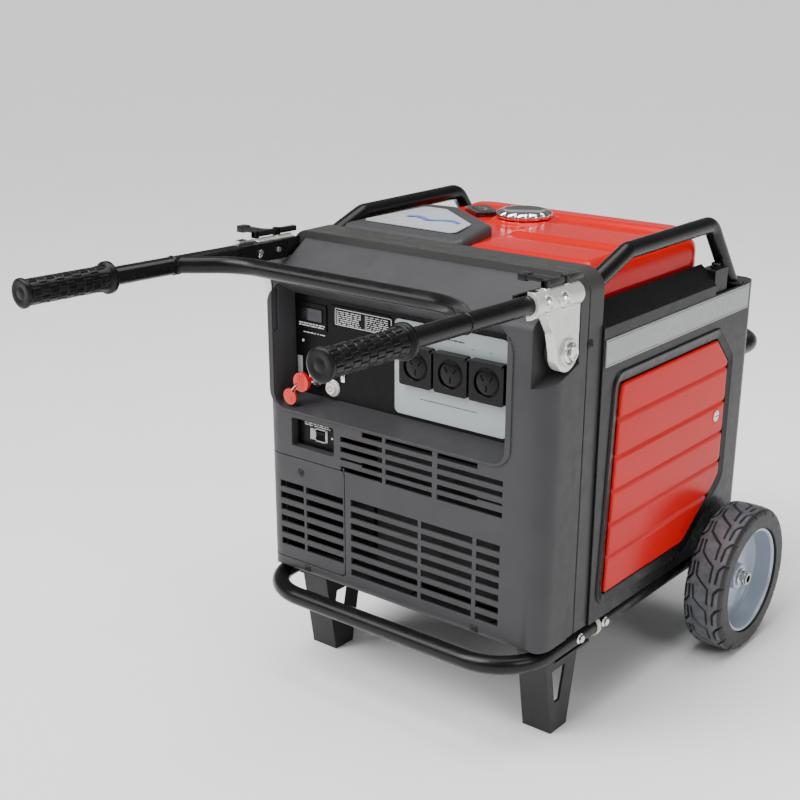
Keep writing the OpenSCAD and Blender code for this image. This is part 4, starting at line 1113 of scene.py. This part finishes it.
def panel_prints():
    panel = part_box("control_panel")[0].y / MM
    white = Shape()
    for x0, x1, z0, z1 in ((-142, -34, 601.4, 602.4), (-142, -34, 577, 578), (-142, -141, 577, 602.4),
                           (-35, -34, 577, 602.4)):
        white.box((x0, panel - 0.3, z0), (x1, panel, z1))
    bars(white, -139, -92, 598, 7, 3.0, 4, panel, bar=1.3)
    bars(white, -84, -38, 598, 7, 3.0, 5, panel, bar=1.1)
    flat = panel + 2
    bars(white, -215, -163, 569.5, 2, 3.4, 6, panel, bar=1.7, gaps=2)
    bars(white, -208, -160, 555, 1, 3, 7, flat, bar=1.4, gaps=5)
    white.make("panel_print", "machine", "panel_plastic", look="print_white")
    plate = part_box("socket_plate")[0].y / MM
    dark = Shape()
    bars(dark, 20, 120, 493, 1, 3, 8, plate, bar=1.2, gaps=2)
    bars(dark, 40, 96, 590, 1, 3, 9, plate, bar=2.2, gaps=2)
    for x in (16, 48, 110, 141):
        dark.box((x - 2.5, plate - 0.25, 583), (x + 2.5, plate, 583.8))
    dark.make("outlet_print", "machine", "socket_label", look="print_dark")
    led = Shape()
    led.lathe([(0, 0), (2.2, 0), (2.1, 0.8), (1.2, 1.6), (0, 1.9)], at(mm(-209, flat, 541), (0, -1, 0)), 24)
    led.make("panel_lamp", "machine", "button_plastic")
    plate_small = Shape()
    plate_small.rounded((-5, -14, 0), (5, 14, 1.2), 1.5, at(mm(-216, flat, 502), (0, -1, 0)))
    plate_small.make("key_plate", "machine", "stripe_label", bevel=0.3)
    frame_ring = Shape()
    cx, cz = -188.5, 584
    for x0, x1, z0, z1 in ((-21, 21, 9.6, 10.6), (-21, 21, -10.6, -9.6), (-21, -20.2, -10.6, 10.6), (20.2, 21, -10.6, 10.6)):
        frame_ring.box((cx + x0, panel - 1.2, cz + z0), (cx + x1, panel + 0.2, cz + z1))
    frame_ring.make("display_frame", "machine", "panel_plastic", bevel=0.3)
    digits = Shape()
    for i in range(3):
        x = -200 + 10 * i
        for dx, dz, wide in ((0, 4, 1), (0, 0, 1), (0, -4, 1), (-2.4, 2, 0), (2.4, 2, 0), (-2.4, -2, 0),
                             (2.4, -2, 0)):
            size = (1.9, 0.3) if wide else (0.3, 1.5)
            digits.box((x + dx - size[0], panel - 0.62, cz + dz - size[1]),
                       (x + dx + size[0], panel - 0.5, cz + dz + size[1]))
    digits.make("display_segments", "machine", "display_window", look="print_dark")


def outlet_details():
    """Screws, inner rims and slots of the three outlets, with the slots painted dark as shade in the holes."""
    low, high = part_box("ac_sockets")
    front = low.y / MM + 5
    mid = 543
    screws, rims, holes = Shape(), Shape(), Shape()
    for i in range(3):
        x = 17 + 62 * i
        place = at(mm(x, front, mid), (0, -1, 0))
        rims.lathe([(19.4, -3), (21.2, -3), (21.6, 0.9), (20.8, 1.5), (19.8, 0.9)], place, 72)
        rims.lathe([(0, -3.2), (18.4, -3.2), (18.2, -1.2), (17, -0.6), (0, -0.6)], place, 72)
        for sx in (-1, 1):
            for sz in (-1, 1):
                pan_head(screws, place @ at(mm(sx * 24.5, sz * 24.0, -0.1)), 2.3, 1.0, 24)
        # The slots are flat marks painted dark as the shade inside the socket holes.
        for angle, cx, cy in ((30, -7.5, 5.5), (-30, 7.5, 5.5), (0, 0, -8.5)):
            slot = place @ at(mm(cx, cy, -0.62), (0, 0, 1), math.radians(angle))
            holes.rounded((-1.3, -4.8, 0), (1.3, 4.8, 0.1), 0.6, slot)
    rims.make("outlet_rims", "machine", "socket_plastic", bevel=0.3)
    screws.make("outlet_screws", "machine", "lever_plastic")
    holes.make("outlet_slots", "machine", "socket_plastic", look="painted_hole_shade")


def breaker_details():
    low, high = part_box("breaker_button")
    centre = (low + high) / 2
    front = low.y / MM
    face = Shape()
    place = at((centre.x, low.y, centre.z), (0, -1, 0))
    face.lathe([(0, -0.3), (8.9, -0.3), (8.6, 0.6), (7.6, 1.0), (6.4, 0.5), (0, 0.3)], place, 48)
    face.make("breaker_cap", "breaker", "button_plastic", angle=50)
    mark = Shape()
    mark.lathe([(3.4, 0.4), (4.4, 0.4), (4.4, 0.75), (3.4, 0.75)], place, 36)
    mark.make("breaker_ring", "breaker", "button_plastic", look="print_red")
    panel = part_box("control_panel")[0].y / MM + 2
    collar = Shape()
    spot = at(mm(centre.x / MM, panel, centre.z / MM), (0, -1, 0))
    collar.lathe([(9.2, 0), (13.2, 0), (13, 3), (12, 4.2), (10, 4.2), (9.2, 3.4)], spot, 56)
    collar.make("breaker_collar", "machine", "button_plastic", angle=50)
    lug = Shape()
    lug.rounded((-4, -7, 0), (4, 7, 2), 1.5, at(mm(-129, panel, 496), (0, -1, 0)))
    lug.lathe([(0, 2), (3.4, 2), (3.2, 4), (0, 4)], at(mm(-129, panel, 498), (0, -1, 0)), 24)
    lug.make("panel_lug", "machine", "zinc", bevel=0.3)


def rocker_details():
    low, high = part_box("rocker_switch")
    centre = (low + high) / 2
    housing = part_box("switch_housing")
    front = housing[0].y / MM
    rim = Shape()
    for x0, x1, z0, z1 in ((-21, 14, 8.6, 11), (-21, 14, -11, -8.6), (-21, -9.2, -11, 11), (9.2, 14, -11, 11)):
        rim.box((-153 + x0, front - 1.2, 405 + z0), (-153 + x1, front + 0.1, 405 + z1))
    rim.make("rocker_rim", "machine", "stripe_label", bevel=0.4)
    strip = Shape()
    bars(strip, -186, -134, 421, 2, 3.0, 11, front, bar=1.4)
    strip.make("window_print", "machine", "panel_plastic", look="print_white")
    lamp = Shape()
    lamp.lathe([(0, 0), (1.8, 0), (1.7, 0.7), (0.9, 1.4), (0, 1.6)], at(mm(-130, front, 405), (0, -1, 0)), 24)
    lamp.make("window_lamp", "machine", "button_plastic")


def key_details():
    """Ridged key head, a steel ring, and a red tag that hangs from it."""
    low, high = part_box("ignition_key")
    centre = (low + high) / 2
    head = Shape()
    place = at((centre.x, low.y, centre.z), (0, -1, 0))
    for x in (-6, -2, 2, 6):
        reach = math.sqrt(13 ** 2 - x ** 2)
        head.rounded((x - 0.9, -reach, -0.5), (x + 0.9, reach, 0.6), 0.8, place)
    head.make("key_ridges", "key", "key_plastic", bevel=0.2)
    hole = Vector((centre.x - 0.009, -0.157, centre.z - 0.006))
    lean = Matrix.Translation(hole) @ Matrix.Rotation(math.radians(36), 4, "Y")
    ring = Shape()
    steps, around = 72, 12
    verts, faces = [], []
    for k in range(steps):
        a = TURN * k / steps
        for m in range(around):
            b = TURN * m / around
            reach = 7 + 0.95 * math.cos(b)
            verts.append((0.95 * math.sin(b), reach * math.sin(a), -7 + reach * math.cos(a)))
            faces.append((k * around + m, k * around + (m + 1) % around,
                          (k + 1) % steps * around + (m + 1) % around, (k + 1) % steps * around + m))
    ring.add(verts, faces, lean)
    ring.make("tag_ring", "tag", "key_plastic", look="zinc", angle=80)
    turn = lean @ Matrix.Rotation(math.radians(90), 4, "X")
    outline = arc(0, -27, 13, 115, 425, 40) + arc(0, -15.2, 4.6, 20, 160, 8)
    inner = [(2.2 * math.cos(TURN * k / 24), -14 + 2.2 * math.sin(TURN * k / 24)) for k in range(24)]
    tag = Shape().prism(outline, -1.7, 1.7, turn)
    tag.rounded((-9, -31.5, -2.3), (9, -29.9, 2.3), 0.7, turn)
    tag.rounded((-9.5, -27.8, -2.3), (9.5, -26.2, 2.3), 0.7, turn)
    tag.rounded((-9, -24.1, -2.3), (9, -22.5, 2.3), 0.7, turn)
    tag.make("tag_disc", "tag", "key_plastic", bevel=0.5, replaces=("key_tag",))
    # The tag's eye is a dark disc painted as the shade of a hole.
    eye = Shape().prism(inner, -1.76, 1.76, turn)
    eye.make("tag_eye", "tag", "key_plastic", look="painted_hole_shade")


# ---- Body details ----


def front_baffle():
    """Dark sheet that closes the gap between the front cover and the floor tray."""
    sheet = Shape().box((-236, -150, 168.6), (236, -71, 170.4))
    for x in (-150, 0, 150):
        sheet.box((x - 2, -148, 170.2), (x + 2, -74, 173.5))
    pan_low, pan_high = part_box("base_pan")
    for side in (1, -1):
        left, right = sorted((side * (pan_high.x / MM - 2), side * 236))
        sheet.box((left, -70.9, 168.6), (right, 400, 170.4))
    sheet.make("front_baffle", "machine", "pan_plastic", bevel=0.4)


def recess_liner():
    """Thin wall between the panel's recess and the left bracket's pocket."""
    liner = Shape().box((-235.9, -160.3, 560), (-233.9, -99, 635.5))
    liner.box((-235.9, -121, 556), (-234.3, -117, 561))
    liner.make("recess_liner", "machine", "cover_plastic", bevel=0.4)


def frame_details():
    """Weld beads, clips and bolts on the tube frame."""
    welds = Shape()
    for side in (1, -1):
        for y in (-20, 150, 395):
            place = at((side * 0.2315, y * MM, 0.151), (side, 0, 0))
            welds.lathe([(10.8, -1), (13.0, 0.4), (12.6, 1.8), (10.8, 2.4)], place, 40,
                        lambda r, z, a: r + 0.35 * math.sin(22 * a) if r > 11 else r)
        for y in (-103, -12):
            spot = at((side * 0.246, y * MM, 0.1385), (0, 1, 0))
            welds.lathe([(0, -2.2), (2.6, -1.8), (3.0, 0), (2.6, 1.8), (0, 2.2)], spot, 16)
    welds.make("frame_welds", "machine", "frame_paint", angle=80)
    bolts = Shape()
    for side in (1, -1):
        hex_head(bolts, at((side * 0.2595, -0.046, 0.1535), (side, 0, 0)), 11, 5, flange=8.5)
        hex_head(bolts, at((side * 0.2595, 0.024, 0.1535), (side, 0, 0)), 11, 5, flange=8.5)
    bolts.make("rail_bolts", "machine", "zinc", bevel=0.2)
    clips = Shape()
    for side in (1, -1):
        place = at((side * 0.246, 0.002, 0.151), (0, 1, 0))
        clips.lathe([(14.05, 0), (16.2, 0), (16.8, 1.5), (16.8, 7.5), (16.2, 9), (14.05, 9)], place, 56)
    clips.make("rail_clips", "machine", "stripe_label", look="cream_plastic", bevel=0.3)


def stripe_details():
    """Plain border lines on the side stripes."""
    low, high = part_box("side_stripes")
    lines = Shape()
    for side in (1, -1):
        x0, x1 = sorted((side * (high.x / MM - 0.1), side * (high.x / MM + 0.15)))
        lines.box((x0, low.y / MM + 3, 564.2), (x1, high.y / MM - 3, 565.0))
        lines.box((x0, low.y / MM + 3, 598.2), (x1, high.y / MM - 3, 599.0))
    lines.make("stripe_lines", "machine", "stripe_label", look="print_dark")


def rear_details():
    """Louvre blades, screws and a guard round the exhaust on the rear cover."""
    low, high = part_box("rear_cover")
    back = high.y / MM
    blades = Shape()
    for i in range(10):
        z = 335 + 20 * i
        place = Matrix.Translation(mm(-50, back - 3.2, z)) @ Matrix.Rotation(math.radians(38), 4, "X")
        blades.box((-119, -0.8, -5.5), (119, 0.8, 5.5), place)
    blades.make("rear_louvres", "machine", "trim_plastic", bevel=0.3)
    ring = Shape().lathe([(26.2, -1.5), (33, -1.5), (33, 1.4), (31, 2.4), (28, 2.4), (26.2, 1.0)],
                         at(mm(125, back, 400), (0, 1, 0)), 72)
    ring.make("exhaust_ring", "machine", "zinc", bevel=0.3)
    screws = Shape()
    for x, z in ((-225, 200), (225, 200), (-225, 580), (225, 580), (0, 200), (0, 580)):
        place = at(mm(x, back - 0.1, z), (0, 1, 0))
        screws.lathe([(0, 0), (6.5, 0), (6.2, 0.8), (0, 0.8)], place, 36)
        pan_head(screws, place @ at(mm(0, 0, 0.7)), 4.2, 1.6)
    screws.make("rear_screws", "machine", "zinc")


def cover_details():
    """Screw heads and slots in the cover locks, and red rims round the locks."""
    for side, name in ((1, "right"), (-1, "left")):
        low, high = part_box("cover_lock_" + name)
        centre = (low + high) / 2
        face = side * max(abs(low.x), abs(high.x))
        place = at((face - side * 0.0004, centre.y, centre.z), (side, 0, 0))
        head = Shape()
        head.lathe([(0, 0), (6.9, 0), (6.7, 0.8), (5.4, 1.3), (0, 1.5)], place, 48)
        head.make("lock_face_" + name, "lock_" + name, "zinc", angle=50)
        rim = at((side * 0.2646, centre.y, centre.z), (side, 0, 0))
        ring = Shape().lathe([(9.4, -1), (13, -1), (12.6, 0.5), (11.4, 1.1), (10, 0.9), (9.4, 0.2)], rim, 56)
        ring.make("lock_rim_" + name, "cover_" + name, "cover_red", angle=50)
        # The screw slot is a thin mark painted dark as the shade in the recess.
        slot = Shape().box((-4.8, -0.9, 1.42), (4.8, 0.9, 1.62), place)
        slot.make("lock_slot_" + name, "lock_" + name, "zinc", look="painted_hole_shade")


# ---- Put together ----

add_camera()
make_materials()
add_studio()
dress_nodes()
tyres()
wheels()
fasteners()
handle_bolts()
grips()
handle_details()
levers()
filler_cap()
dark_housing()
tank_shell()
red_covers()
cover_surrounds()
gauge_face()
panel_prints()
outlet_details()
breaker_details()
rocker_details()
key_details()
front_baffle()
recess_liner()
frame_details()
stripe_details()
rear_details()
cover_details()
